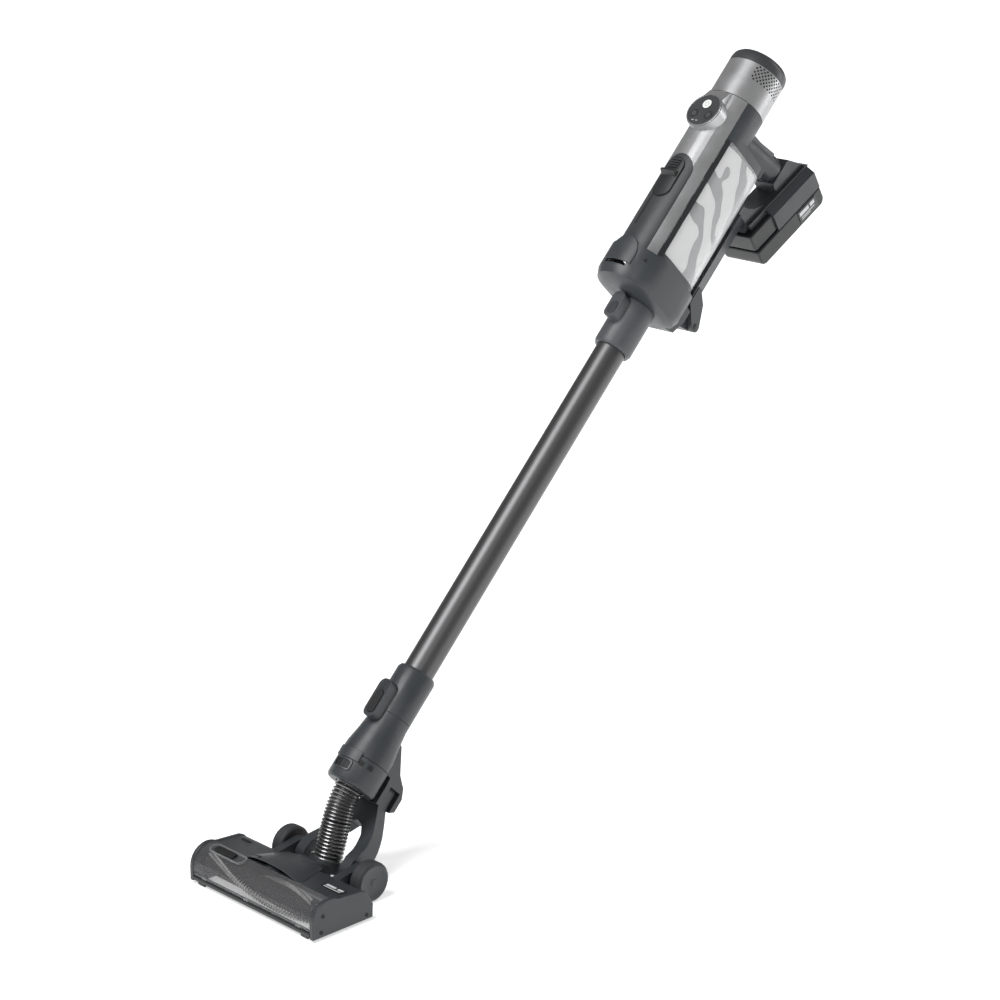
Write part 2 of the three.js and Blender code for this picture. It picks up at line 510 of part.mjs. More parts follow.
const LATCH_DEPTH = 12.5;
const LOWER_LATCH = [NECK_TOP - 17, NECK_TOP + 33];
const LOWER_BUTTON = [NECK_TOP - 12, NECK_TOP + 18];
piece(wand, 'lower_collar', cut(
  join(turned([
    [SPIGOT + GAP, NECK_TOP + GAP], [COLLAR_RADIUS, NECK_TOP + GAP], [COLLAR_RADIUS, LOWER_RIM - 4],
    [COLLAR_RADIUS - 2, LOWER_RIM], [BORE, LOWER_RIM], [BORE, LOWER_RIM - SOCKET_DEPTH],
    [SPIGOT - 1.5, LOWER_RIM - SOCKET_DEPTH],
    [SPIGOT - 1.5, NECK_TOP + 18.5], [SPIGOT + GAP, NECK_TOP + 18.5],
  ]), latchHousing(...LOWER_LATCH, LATCH_DEPTH)),
  latchPocket(...LOWER_BUTTON, LATCH_DEPTH),
  rod(SPIGOT + GAP, NECK_TOP - 1, NECK_TOP + 18.5),
  rod(BORE, LOWER_RIM - SOCKET_DEPTH, LOWER_RIM + 1),
  turned([[0, NECK_TOP - 40], [CUFF_RADIUS, NECK_TOP - 40], [COLLAR_RADIUS + 1.2, NECK_TOP - 20],
    [COLLAR_RADIUS + 1.2, NECK_TOP + GAP], [0, NECK_TOP + GAP]])), SLATE);
piece(wand, 'lower_latch_button', latchButton(...LOWER_BUTTON, LATCH_DEPTH), DARK);
piece(wand, 'wand_tube',
  pipe(TUBE_RADIUS, TUBE_RADIUS - TUBE_WALL, LOWER_RIM - SOCKET_DEPTH + GAP,
    UPPER_RIM + SOCKET_DEPTH - GAP), TUBE_FINISH);

const UPPER_LATCH = [NOSE - 37, NOSE - 1];
const UPPER_BUTTON = [NOSE - 32, NOSE - 16];
piece(wand, 'upper_collar', cut(
  join(turned([
    [BORE, UPPER_RIM], [COLLAR_RADIUS - 2, UPPER_RIM], [COLLAR_RADIUS, UPPER_RIM + 4],
    [COLLAR_RADIUS, NOSE - GAP],
    [SPIGOT, NOSE - GAP], [SPIGOT, NOSE + 18], [SPIGOT - 3, NOSE + 18],
    [SPIGOT - 3, UPPER_RIM + SOCKET_DEPTH], [BORE, UPPER_RIM + SOCKET_DEPTH],
  ]), latchHousing(...UPPER_LATCH, LATCH_DEPTH)),
  latchPocket(...UPPER_BUTTON, LATCH_DEPTH),
  rod(BORE, UPPER_RIM - 1, UPPER_RIM + SOCKET_DEPTH)), SLATE);
piece(wand, 'upper_latch_button', latchButton(...UPPER_BUTTON, LATCH_DEPTH), DARK);

// ================================================================ HANDHELD UNIT
// Cross-section of the body: a barrel on top and the dust pod's rounded belly below.
const BARREL_Y = -BARREL_LIFT;
const BELLY_RADIUS = BODY_RADIUS - 1;
const bodyOutline = (inset) => outline([
  ...arcPoints(0, BARREL_Y, BODY_RADIUS - inset, 180, 360, BARREL_SIDES / 2),
  ...arcPoints(0, POD_DROP, BELLY_RADIUS - inset, 0, 180, 12),
]);
// Everything within an angle of the barrel's top line, as a wedge from the barrel's axis.
function topWedge(angle, z0, z1) {
  const far = 140;
  const side = far * Math.tan(rad(angle));
  return alongZ(outline([[0, BARREL_Y], [-side, BARREL_Y - far], [side, BARREL_Y - far]]), z0, z1);
}
// A plate curved round the barrel, cut to an (x, z) outline.
const barrelPlate = (shape, inner, outer, z0, z1) =>
  common(barrelPipe(outer, inner, z0, z1), alongY(shape, BARREL_Y - outer - 5, BARREL_Y - 10));
const barrelPipe = (outer, inner, z0, z1) =>
  pipe(outer, inner, z0, z1, BARREL_SIDES).translate(0, BARREL_Y, 0);
const barrelRod = (radius, z0, z1) => rod(radius, z0, z1, BARREL_SIDES).translate(0, BARREL_Y, 0);

const MOTOR_START = BODY_LENGTH + GAP;
const MOTOR_END = BODY_LENGTH + MOTOR_SECTION;
const POD_END = POD_LENGTH + 4;
const SHELL_ANGLE = 60;      // the silver shell's edge, degrees from the barrel's top line
const RAIL_ANGLE = 71;       // the far edge of the dark rail below it
const CREST = BARREL_Y - BODY_RADIUS;   // the barrel's top line

// ---- silver body shell with the control-panel boss
const TRACK_HALF = TRACK_WIDTH / 2;
const trackOutline = (grow) => outline([
  [-TRACK_HALF - grow, -5], [TRACK_HALF + grow, -5],
  ...arcPoints(0, TRACK_LENGTH - TRACK_HALF, TRACK_HALF + grow, 0, 180, 12),
]);
const PANEL_Y = CREST - PANEL_RISE;
const RING_WIDTH = 1.8;
function makeBodyShell() {
  const sleeve = common(
    barrelPipe(BODY_RADIUS, BODY_RADIUS - WALL, GAP, BODY_LENGTH - GAP),
    topWedge(SHELL_ANGLE, 0, BODY_LENGTH));
  const boss = rodY(PANEL_RADIUS + 0.6, PANEL_Y + 1.5, CREST + 10, 0, PANEL_STATION, 32);
  const ramp = alongX(outline([
    [PANEL_Y + 1.5, PANEL_STATION], [PANEL_Y + 1.5, PANEL_STATION + PANEL_RADIUS - 6],
    [CREST + 0.6, BODY_LENGTH - 1], [CREST + 8, BODY_LENGTH - 1], [CREST + 8, PANEL_STATION],
  ].reverse()), -17, 17);
  const inside = barrelRod(BODY_RADIUS - WALL, -1, BODY_LENGTH + 1);
  const seat = rodY(PANEL_RADIUS - RING_WIDTH, PANEL_Y - 1, PANEL_Y + 3.1, 0, PANEL_STATION, 24);
  const well = rodY(PANEL_RADIUS - 3.5, PANEL_Y - 1, BARREL_Y, 0, PANEL_STATION, 24);
  return cut(join(cut(join(boss, ramp), inside), sleeve), seat, well,
    alongY(trackOutline(GAP), CREST - 5, BARREL_Y));
}
piece(unit, 'body_shell', makeBodyShell(), SILVER);

// ---- control panel: bright ring, dark face, three buttons and the circuit board behind
const panel = new THREE.Group();
panel.position.set(0, PANEL_Y, PANEL_STATION);
panel.rotation.x = Math.PI / 2;         // local Z points out of the panel
unit.add(panel);
piece(panel, 'panel_ring', pipe(PANEL_RADIUS, PANEL_RADIUS - RING_WIDTH, -1.2, 0.4), STEEL);
const BUTTONS = [
  { name: 'power_button', radius: 6.3, x: 0, z: 9, material: WHITE },
  { name: 'boost_button', radius: 5.2, x: 11.5, z: -6.4, material: DARK },
  { name: 'eco_button', radius: 5.2, x: -11.5, z: -6.4, material: DARK },
];
piece(panel, 'panel_face', cut(rod(PANEL_RADIUS - RING_WIDTH - GAP, -2.8, 0),
  ...BUTTONS.map((b) => rod(b.radius + GAP, -4, 1, 16).translate(b.x, b.z, 0))), DARK);
for (const b of BUTTONS) {
  piece(panel, b.name, rod(b.radius, -2.4, 0.6, 16), b.material, [b.x, b.z, 0]);
}
piece(panel, 'circuit_board', rod(PANEL_RADIUS - 5, -7.6, -6), BOARD);

// ---- track insert, slider and its guide slot
const SLOT_X = -9;
const SLIDER_TRAVEL = 35;
const SLIDER_HALF = 13;
const SLIDER_REACH = 29;
piece(unit, 'track_insert', cut(
  barrelPlate(trackOutline(0), BODY_RADIUS - WALL, BODY_RADIUS + 0.2, GAP, TRACK_LENGTH + 2),
  box(SLOT_X - 2, SLOT_X + 2, CREST - 10, BARREL_Y - 20,
    SLIDER_STATION - 22 - SLIDER_TRAVEL - 1, SLIDER_STATION - 18)),
  SLATE);
const sliderOutline = roundedBox(-SLIDER_HALF, SLIDER_HALF, SLIDER_STATION - SLIDER_REACH,
  SLIDER_STATION + SLIDER_REACH, SLIDER_HALF - 0.1, 5);
const lip = alongX(outline([
  [CREST - 1, SLIDER_STATION], [CREST - 1, SLIDER_STATION + 9],
  [CREST - 8, SLIDER_STATION + 7], [CREST - 9, SLIDER_STATION + 4],
].reverse()), -SLIDER_HALF + 2, SLIDER_HALF - 2);
piece(unit, 'pod_slider', join(
  barrelPlate(sliderOutline, BODY_RADIUS + 0.2 + GAP, BODY_RADIUS + 3, 0, TRACK_LENGTH),
  lip,
  box(SLOT_X - 1.4, SLOT_X + 1.4, CREST - 0.6, CREST + 3.4,
    SLIDER_STATION - 22, SLIDER_STATION - 19)), DARK);

// ---- chassis: front ring, pod rails, rear bulkhead and housing, spine and hinge ears
const SPINE_HALF = 20;
const SPINE_END = BODY_LENGTH - 97;
const BULKHEAD = 12;
const KNUCKLE = 7;           // radius of the hinge's ears
const hingeBore = () => rodX(PIN_RADIUS + GAP, -40, 40, HINGE_DROP, HINGE_BACK);
function makeChassis() {
  const band = (z0, z1, wall) =>
    cut(alongZ(bodyOutline(0), z0, z1), alongZ(bodyOutline(wall), z0 - 1, z1 + 1));
  const frontRing = cut(band(GAP, 9.4, WALL), topWedge(SHELL_ANGLE + 0.5, -1, 20));
  const rails = common(band(8, POD_END + 4, WALL),
    cut(topWedge(RAIL_ANGLE, 0, POD_END + 20), topWedge(SHELL_ANGLE + 0.5, -1, POD_END + 21)));
  const bulkhead = cut(alongZ(bodyOutline(0), POD_END + GAP, POD_END + BULKHEAD),
    topWedge(SHELL_ANGLE + 0.5, 0, BODY_LENGTH + 8),
    barrelRod(BODY_RADIUS - WALL - 4, POD_END - 1, POD_END + BULKHEAD + 1));
  const rear = cut(
    barrelPipe(BODY_RADIUS, BODY_RADIUS - WALL, POD_END + BULKHEAD - 1, BODY_LENGTH - GAP),
    topWedge(SHELL_ANGLE + 0.5, 0, BODY_LENGTH + 8));
  const spine = alongZ(outline([
    [-SPINE_HALF, SPINE_TOP], [-SPINE_HALF + 7, SPINE_TOP + SPINE_DEEP],
    [SPINE_HALF - 7, SPINE_TOP + SPINE_DEEP], [SPINE_HALF, SPINE_TOP],
  ].reverse()), 2, SPINE_END);
  const saddle = cut(box(-SPINE_HALF, SPINE_HALF, POD_DROP + 20, SPINE_TOP + 2, 2, 9.4),
    alongZ(bodyOutline(WALL), -5, 20));
  const ears = [1, -1].map((side) => {
    const [x0, x1] = mirrored(side, 12.6, 20);
    return alongX(outline([
      [SPINE_TOP + 3, 2], ...arcPoints(HINGE_DROP, HINGE_BACK, KNUCKLE, 210, 390, 6),
      [HINGE_DROP - 8, 14], [SPINE_TOP + 8, 26], [SPINE_TOP + 3, 26],
    ]), x0, x1);
  });
  return cut(join(frontRing, rails, bulkhead, rear, spine, saddle, ...ears), hingeBore());
}
piece(unit, 'chassis', makeChassis(), SLATE);

// ---- front cap with the inlet nozzle; it hinges on the ears and carries the wand
const capOutline = (inset) => outline([
  ...arcPoints(0, BARREL_Y, CAP_RADIUS - inset, 180, 360, 14),
  ...arcPoints(0, POD_DROP, CAP_RADIUS - 1 - inset, 0, 180, 12),
]);
const CAP_ROUND = 14;
const TAB_BOTTOM = -27;
const tabOutline = (grow) => outline([
  [-21 - grow, TAB_BOTTOM - grow], [21 + grow, TAB_BOTTOM - grow],
  ...arcPoints(0, -12, 21 + grow, 0, 180, 10),
]);
function makeFrontCap() {
  const rounded = (inset, front, deep) => new THREE.ExtrudeGeometry(capOutline(inset), {
    bevelEnabled: true, bevelThickness: CAP_ROUND, bevelSize: CAP_ROUND - 1, bevelOffset: -CAP_ROUND + 1,
    bevelSegments: 2, steps: 1, depth: deep }).translate(0, 0, front + CAP_ROUND);
  const outer = common(rounded(0, -CAP_DEPTH, CAP_DEPTH + 10),
    box(-80, 80, -120, 120, -CAP_DEPTH - 1, -GAP));
  const inner = rounded(2.6, -CAP_DEPTH + 3, CAP_DEPTH + 10);
  const chin = join(
    alongX(outline([
      [POD_DROP + 30, -CAP_DEPTH + 2], [POD_DROP + 42, -CAP_DEPTH + 5], [SPINE_TOP + 11, -22],
      [SPINE_TOP + 11, -6], [SPINE_TOP - 1, -4], [POD_DROP + 30, -4],
    ]), -SPINE_HALF, SPINE_HALF),
    alongX(outline([
      [SPINE_TOP + 2, -30], ...arcPoints(HINGE_DROP, HINGE_BACK, KNUCKLE, -90, 90, 6),
      [SPINE_TOP + 2, -6],
    ]), -12, 12));
  const nozzle = pipe(SPIGOT + 2, SPIGOT + GAP, -CAP_DEPTH + 2, -4);
  return cut(join(cut(join(outer, chin), inner), nozzle),
    rod(SPIGOT + GAP, -CAP_DEPTH - 2, 2),
    alongY(tabOutline(GAP), BARREL_Y - CAP_RADIUS - 5, BARREL_Y - 20),
    box(-16, 16, BARREL_Y - CAP_RADIUS - 5, BARREL_Y - 20, TAB_BOTTOM - 5, TAB_BOTTOM),
    hingeBore());
}
piece(unit, 'front_cap', makeFrontCap(), SLATE);
piece(unit, 'cap_latch', common(
  barrelPipe(CAP_RADIUS + 0.6, CAP_RADIUS - 2, TAB_BOTTOM, 12),
  alongY(tabOutline(0), BARREL_Y - CAP_RADIUS - 5, BARREL_Y - 20)), SLATE);
piece(unit, 'cap_hinge_pin', rodX(PIN_RADIUS, -19.5, 19.5, 0, 0), STEEL, [0, HINGE_DROP, HINGE_BACK]);
piece(unit, 'inlet_seal', pipe(SPIGOT + 4.4, SPIGOT + 2 + GAP, -9, -5), RUBBER);

// ---- clear pod window and the dust pod inside it
piece(unit, 'pod_window', cut(
  alongZ(bodyOutline(0.1), 9.4 + GAP, POD_END),
  alongZ(bodyOutline(1.9), 0, POD_END + 5),
  topWedge(RAIL_ANGLE + 0.5, 0, BODY_LENGTH)), CLEAR);
piece(unit, 'dust_pod', cut(
  alongZ(bodyOutline(3), 3, POD_END - 1.5),
  alongZ(bodyOutline(4.6), 4.6, POD_END - 3.1),
  rod(SPIGOT + 5, 0, 8),
  barrelRod(BODY_RADIUS - 12, POD_END - 8, POD_END)), WHITE);

// ---- filter, motor and fan on the barrel's axis
const PLEATS = 18;
const PLEAT_DEPTH = 7;
const FILTER_START = POD_END + BULKHEAD + 2;
const FILTER_END = FILTER_START + 34;
function makeFilter() {
  const outside = BODY_RADIUS - WALL - 2;
  const star = outline(Array.from({ length: PLEATS * 2 }, (_, i) => {
    const radius = outside - (i % 2) * PLEAT_DEPTH;
    const angle = TAU * i / (PLEATS * 2);
    return [radius * Math.cos(angle), radius * Math.sin(angle)];
  }));
  return cut(alongZ(star, FILTER_START, FILTER_END),
    rod(outside - PLEAT_DEPTH - 4, FILTER_START - 1, FILTER_END + 1));
}
piece(unit, 'filter', makeFilter(), WHITE, [0, BARREL_Y, 0]);
piece(unit, 'motor_fan', join(
  rod(BODY_RADIUS - 9, MOTOR_START + 1, MOTOR_START + 3),
  rod(8, MOTOR_START + 1, MOTOR_START + 8, 16)), STEEL, [0, BARREL_Y, 0]);
piece(unit, 'suction_motor', join(
  rod(BODY_RADIUS - 13, MOTOR_START + 9, MOTOR_END - 4),
  rod(12, MOTOR_START + 9, MOTOR_END + 1, 16)), COPPER, [0, BARREL_Y, 0]);

// ---- silver motor housing with rows of round vents, and the rear end cap
const VENT_ROWS = 3;
const VENT_COLUMNS = 5;
const VENT_RADIUS = 2.2;
const VENT_ANGLE = 50;       // the first column, degrees from the barrel's top line
const VENT_PITCH = 15;
function makeMotorHousing() {
  const vents = [];
  for (const side of [1, -1]) {
    for (let row = 0; row < VENT_ROWS; row += 1) {
      for (let column = 0; column < VENT_COLUMNS; column += 1) {
        const angle = VENT_ANGLE + (column + (row % 2) / 2) * VENT_PITCH;
        vents.push(rod(VENT_RADIUS, BODY_RADIUS - WALL - 1, BODY_RADIUS + 1, 5)
          .rotateX(Math.PI / 2).rotateZ(side * rad(angle))
          .translate(0, 0, MOTOR_END - 9 - row * 7));
      }
    }
  }
  return cut(pipe(BODY_RADIUS, BODY_RADIUS - WALL, MOTOR_START, MOTOR_END, BARREL_SIDES), ...vents);
}
piece(unit, 'motor_housing', makeMotorHousing(), SILVER, [0, BARREL_Y, 0]);
piece(unit, 'end_cap', turned([
  [0, END_CAP - 2.5], [BODY_RADIUS - 5, END_CAP - 2.5], [BODY_RADIUS - WALL, END_CAP - 6],
  [BODY_RADIUS - WALL, GAP], [BODY_RADIUS, GAP], [BODY_RADIUS, END_CAP - 10],
  [BODY_RADIUS - 1.2, END_CAP - 5.5], [BODY_RADIUS - 4.2, END_CAP - 2], [BODY_RADIUS - 9, END_CAP],
  [0, END_CAP],
], BARREL_SIDES), DARK, [0, BARREL_Y, MOTOR_END]);

// ---- battery pack, tilted under the grip; it slides out backward
const battery = new THREE.Group();
const BATTERY_FOOT = [0, HINGE_DROP + 40, BODY_LENGTH - 124];   // its lower front edge
battery.position.set(...BATTERY_FOOT);
battery.rotation.x = -rad(BATTERY_TILT);
unit.add(battery);
const tilted = (geometry) => geometry.rotateX(-rad(BATTERY_TILT)).translate(...BATTERY_FOOT);
const BATTERY_STEP = BATTERY_DEPTH * 0.52;   // depth of the narrow part that the shoe holds
const BATTERY_NARROW = BATTERY_WIDTH - 2.6;
const upperBattery = (grow) => outline([
  [-BATTERY_NARROW - grow, -BATTERY_DEPTH + BATTERY_STEP + grow],
  [-BATTERY_NARROW - grow, -BATTERY_DEPTH + 9], [-BATTERY_NARROW + 8, -BATTERY_DEPTH - grow],
  [BATTERY_NARROW - 8, -BATTERY_DEPTH - grow], [BATTERY_NARROW + grow, -BATTERY_DEPTH + 9],
  [BATTERY_NARROW + grow, -BATTERY_DEPTH + BATTERY_STEP + grow],
].reverse());
const lowerBattery = roundedBox(-BATTERY_WIDTH, BATTERY_WIDTH, -BATTERY_DEPTH + BATTERY_STEP, 0, 4, 3);
piece(battery, 'battery_case', cut(
  join(alongZ(upperBattery(0), 0, BATTERY_LENGTH), alongZ(lowerBattery, 0, BATTERY_LENGTH)),
  box(-BATTERY_NARROW + 2.5, BATTERY_NARROW - 2.5, -BATTERY_DEPTH + 3, -3, 3, BATTERY_LENGTH - 14),
  box(-12, 12, -BATTERY_DEPTH - 1, -BATTERY_DEPTH + 4, 60, 90),
  box(-9 - GAP, 9 + GAP, -13 - GAP, -5 + GAP, BATTERY_LENGTH - 5, BATTERY_LENGTH + 1)), DARK);
const CELL_RADIUS = 8.2;
function makeCells() {
  const rows = [];
  for (const x of [-CELL_RADIUS * 2, 0, CELL_RADIUS * 2]) {
    for (const y of [-1, 1]) {
      rows.push(rod(CELL_RADIUS + 0.1, 6, BATTERY_LENGTH - 20, 12)
        .translate(x, y * CELL_RADIUS - BATTERY_DEPTH / 2, 0));
    }
  }
  const strap = box(-CELL_RADIUS * 2, CELL_RADIUS * 2,
    -BATTERY_DEPTH / 2 - 2, -BATTERY_DEPTH / 2 + 2, 6, BATTERY_LENGTH - 20);
  return join(...rows, strap);
}
piece(battery, 'battery_cells', makeCells(), CELL);
piece(battery, 'battery_release', box(-9, 9, -13, -5, BATTERY_LENGTH - 4, BATTERY_LENGTH + 0.6), SLATE);
piece(battery, 'battery_label', box(BATTERY_WIDTH + GAP, BATTERY_WIDTH + 0.8,
  -BATTERY_DEPTH + BATTERY_STEP + 3, -5, BATTERY_LENGTH - 52, BATTERY_LENGTH - 14), WHITE);

// ---- handle: grip, shoe over the battery and bridge to the spine, as two hollow halves
// Its outlines are laid out from the hinge's depth and the barrel's rear end.
const handlePoint = ([down, back]) => [HINGE_DROP + down, BODY_LENGTH + back];
const BRIDGE_HALF = GRIP_WIDTH + 1;
function gripBar(inset) {
  const from = [0, BODY_LENGTH - 25];
  const to = handlePoint([20, -8]);
  const [dy, dz] = [to[0] - from[0], to[1] - from[1]];
  const steps = 16;
  const oval = outline(Array.from({ length: steps }, (_, i) => [
    (GRIP_WIDTH - inset) * Math.cos(TAU * i / steps),
    (GRIP_WIDTH + 2.5 - inset) * Math.sin(TAU * i / steps),
  ]));
  return alongZ(oval, 0, Math.hypot(dy, dz)).rotateX(-Math.atan2(dy, dz)).translate(0, ...from);
}
function makeHandle() {
  const root = alongX(outline([
    [-8, POD_END + BULKHEAD + GAP], [42, POD_END + BULKHEAD + GAP], [58, BODY_LENGTH - 38],
    [58, BODY_LENGTH], [26, BODY_LENGTH - 6], [-8, BODY_LENGTH - 8],
  ]), -GRIP_WIDTH + 3, GRIP_WIDTH - 3);
  const gusset = alongX(outline([
    [-6, -30], [-2, -32.5], [9, -34], [14, -41], [26, -17], [35, 15], [30, 28], [18, 20], [-6, 8],
  ].map(handlePoint)), -BRIDGE_HALF, BRIDGE_HALF);
  const bridge = alongX(outline([
    [SPINE_TOP, SPINE_END + GAP], [SPINE_TOP + SPINE_DEEP + 0.5, SPINE_END + GAP],
    ...[[-4, -108], [4, -108], [26, -32], [20, -27], [11, -42], [-13, -74], [-23, -81]]
      .map(handlePoint),
    [SPINE_TOP, SPINE_END + 12],
  ]), -BRIDGE_HALF, BRIDGE_HALF);
  const roofLine = -BATTERY_DEPTH - 8;
  const skirtEdge = -BATTERY_DEPTH + BATTERY_STEP - GAP;
  const roof = tilted(alongZ(outline([
    [-21, roofLine], [21, roofLine], [21, -BATTERY_DEPTH + 4], [-21, -BATTERY_DEPTH + 4],
  ]), 12, BATTERY_LENGTH - GAP));
  const skirts = tilted(alongZ(outline([
    [-BATTERY_WIDTH, skirtEdge], [-BATTERY_WIDTH, -BATTERY_DEPTH + 2], [-20, roofLine],
    [20, roofLine], [BATTERY_WIDTH, -BATTERY_DEPTH + 2], [BATTERY_WIDTH, skirtEdge],
  ].reverse()), 46, BATTERY_LENGTH - GAP));
  const batteryRoom = tilted(join(
    alongZ(upperBattery(GAP), -20, BATTERY_LENGTH + 64),
    alongZ(roundedBox(-BATTERY_WIDTH - 9, BATTERY_WIDTH + 9, skirtEdge, 60, 4, 2),
      -20, BATTERY_LENGTH + 64)));
  return cut(join(gripBar(0), root, gusset, bridge, roof, skirts), batteryRoom,
    gripBar(3), barrelRod(BODY_RADIUS + GAP, 0, BODY_LENGTH * 2));
}
const handle = makeHandle();
for (const [side, name] of [[1, 'right'], [-1, 'left']]) {
  const half = box(...mirrored(side, GAP / 2, 60), -60, 260, 0, BODY_LENGTH * 2);
  piece(unit, `grip_${name}`, common(handle, half), SLATE);
}

export default vacuum;
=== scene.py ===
import math

import bmesh
import bpy
from mathutils import Matrix, Vector


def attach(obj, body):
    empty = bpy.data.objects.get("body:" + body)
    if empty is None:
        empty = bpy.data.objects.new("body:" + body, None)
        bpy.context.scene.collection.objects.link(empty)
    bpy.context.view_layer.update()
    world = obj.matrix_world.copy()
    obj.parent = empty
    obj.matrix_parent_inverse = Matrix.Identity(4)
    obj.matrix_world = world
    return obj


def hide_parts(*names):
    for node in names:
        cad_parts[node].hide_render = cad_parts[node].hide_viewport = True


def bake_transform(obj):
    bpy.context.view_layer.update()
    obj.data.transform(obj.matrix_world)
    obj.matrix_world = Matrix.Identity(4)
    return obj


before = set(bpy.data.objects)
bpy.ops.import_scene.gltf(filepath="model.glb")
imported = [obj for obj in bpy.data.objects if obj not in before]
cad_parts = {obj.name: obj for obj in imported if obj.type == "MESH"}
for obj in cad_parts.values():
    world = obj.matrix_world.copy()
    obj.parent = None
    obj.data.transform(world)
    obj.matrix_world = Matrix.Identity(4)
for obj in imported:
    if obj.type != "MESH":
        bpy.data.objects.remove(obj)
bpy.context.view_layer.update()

# ---------------------------------------------------------------- Camera
# A long lens a little above the vacuum, looking at its front right, so that the
# wand runs up across the view from the floor head to the handheld unit.
scene = bpy.context.scene
scene.view_settings.view_transform = "Standard"
camera_lens = bpy.data.cameras.new("camera")
camera_lens.lens = 97.2
camera_lens.clip_end = 60
camera = bpy.data.objects.new("camera", camera_lens)
camera.location = (2.1934, -1.7714, 1.3532)
camera.rotation_euler = Vector((0.6868, -0.6632, 0.2974)).to_track_quat("Z", "Y").to_euler()
scene.collection.objects.link(camera)
scene.camera = camera

# ---------------------------------------------------------------- Floor and lights
# A white floor that glows, as painted light: the glow is about half strength near the vacuum, so
# that its shadow shows, and full strength from 1.4 m out. A large soft box stands to the left
# and above, a second one gives the right-hand edges a thin light, and a white surround fills the
# rest.
middle = Vector((0, 0.35, 0.45))
toward_right = Vector((0.695, 0.719, 0))
toward_camera = Vector((0.719, -0.695, 0))


def soft_box(name, right, forward, up, width, height, watts):
    lamp = bpy.data.lights.new(name, "AREA")
    lamp.shape = "RECTANGLE"
    lamp.size = width
    lamp.size_y = height
    lamp.energy = watts
    stand = bpy.data.objects.new(name, lamp)
    stand.location = middle + toward_right * right + toward_camera * forward + Vector((0, 0, up))
    stand.rotation_euler = (stand.location - middle).to_track_quat("Z", "Y").to_euler()
    scene.collection.objects.link(stand)


soft_box("key_light", -1.5, 1.2, 2.4, 1.6, 2.0, 92)
soft_box("edge_light", 2.2, -0.6, 0.8, 0.35, 2.0, 11)
soft_box("front_light", 0.2, 3.0, 1.7, 1.0, 0.8, 12)

surround = bpy.data.worlds.new("surround")
surround.use_nodes = True
surround.node_tree.nodes["Background"].inputs["Color"].default_value = (1, 1, 1, 1)
surround.node_tree.nodes["Background"].inputs["Strength"].default_value = 0.27
scene.world = surround

floor_paint = bpy.data.materials.new("floor_paint")
floor_paint.use_nodes = True
floor_shader = floor_paint.node_tree.nodes["Principled BSDF"]
floor_shader.inputs["Base Color"].default_value = (0.9, 0.9, 0.9, 1)
floor_shader.inputs["Roughness"].default_value = 0.9
floor_shader.inputs["Specular IOR Level"].default_value = 0.0
floor_shader.inputs["Emission Color"].default_value = (1, 1, 1, 1)
floor_place = floor_paint.node_tree.nodes.new("ShaderNodeTexCoord")
floor_reach = floor_paint.node_tree.nodes.new("ShaderNodeVectorMath")
floor_reach.operation = "LENGTH"
# Painted light: the floor's glow grows with distance from the middle, from 0.52 to 1.0.
floor_glow = floor_paint.node_tree.nodes.new("ShaderNodeMapRange")
floor_glow.inputs["From Min"].default_value = 0.3
floor_glow.inputs["From Max"].default_value = 1.4
floor_glow.inputs["To Min"].default_value = 0.52
floor_glow.inputs["To Max"].default_value = 1.0
floor_paint.node_tree.links.new(floor_place.outputs["Object"], floor_reach.inputs[0])
floor_paint.node_tree.links.new(floor_reach.outputs["Value"], floor_glow.inputs["Value"])
floor_paint.node_tree.links.new(floor_glow.outputs["Result"],
                                floor_shader.inputs["Emission Strength"])
floor_mesh = bpy.data.meshes.new("floor")
floor_shape = bmesh.new()
bmesh.ops.create_grid(floor_shape, x_segments=2, y_segments=2, size=24)
floor_shape.to_mesh(floor_mesh)
floor_shape.free()
floor_mesh.materials.append(floor_paint)
floor = bpy.data.objects.new("floor", floor_mesh)
scene.collection.objects.link(floor)

# ---------------------------------------------------------------- Floor head housing
# The motorised head's upper moulding, with the cowl over its air duct. Slate-grey
# ABS with a fine spark-eroded grain, screwed to the sole from below.
mm = 0.001


def moulded(name, colour, roughness, grain=0.5, relief=0.12, mottle=0.05, metallic=0.0):
    """A grained plastic: fine bump, and slow drifts of colour and of gloss."""
    material = bpy.data.materials.new(name)
    material.use_nodes = True
    nodes, link = material.node_tree.nodes, material.node_tree.links.new
    shader = nodes["Principled BSDF"]
    shader.inputs["Metallic"].default_value = metallic
    place = nodes.new("ShaderNodeTexCoord").outputs["Object"]
    fine = nodes.new("ShaderNodeTexNoise")
    fine.inputs["Scale"].default_value = 1 / (grain * mm)
    fine.inputs["Detail"].default_value = 3
    link(place, fine.inputs["Vector"])
    bump = nodes.new("ShaderNodeBump")
    bump.inputs["Strength"].default_value = relief
    bump.inputs["Distance"].default_value = 0.2 * mm
    link(fine.outputs["Fac"], bump.inputs["Height"])
    link(bump.outputs["Normal"], shader.inputs["Normal"])
    broad = nodes.new("ShaderNodeTexNoise")
    broad.inputs["Scale"].default_value = 45
    broad.inputs["Detail"].default_value = 5
    link(place, broad.inputs["Vector"])
    gloss = nodes.new("ShaderNodeMapRange")
    gloss.inputs["From Min"].default_value = 0.3
    gloss.inputs["From Max"].default_value = 0.7
    gloss.inputs["To Min"].default_value = roughness - 0.05
    gloss.inputs["To Max"].default_value = roughness + 0.06
    link(broad.outputs["Fac"], gloss.inputs["Value"])
    link(gloss.outputs["Result"], shader.inputs["Roughness"])
    tint = nodes.new("ShaderNodeMix")
    tint.data_type = "RGBA"
    tint.inputs["A"].default_value = (*[c * (1 - mottle) for c in colour], 1)
    tint.inputs["B"].default_value = (*[c * (1 + mottle) for c in colour], 1)
    link(broad.outputs["Fac"], tint.inputs["Factor"])
    link(tint.outputs["Result"], shader.inputs["Base Color"])
    return material


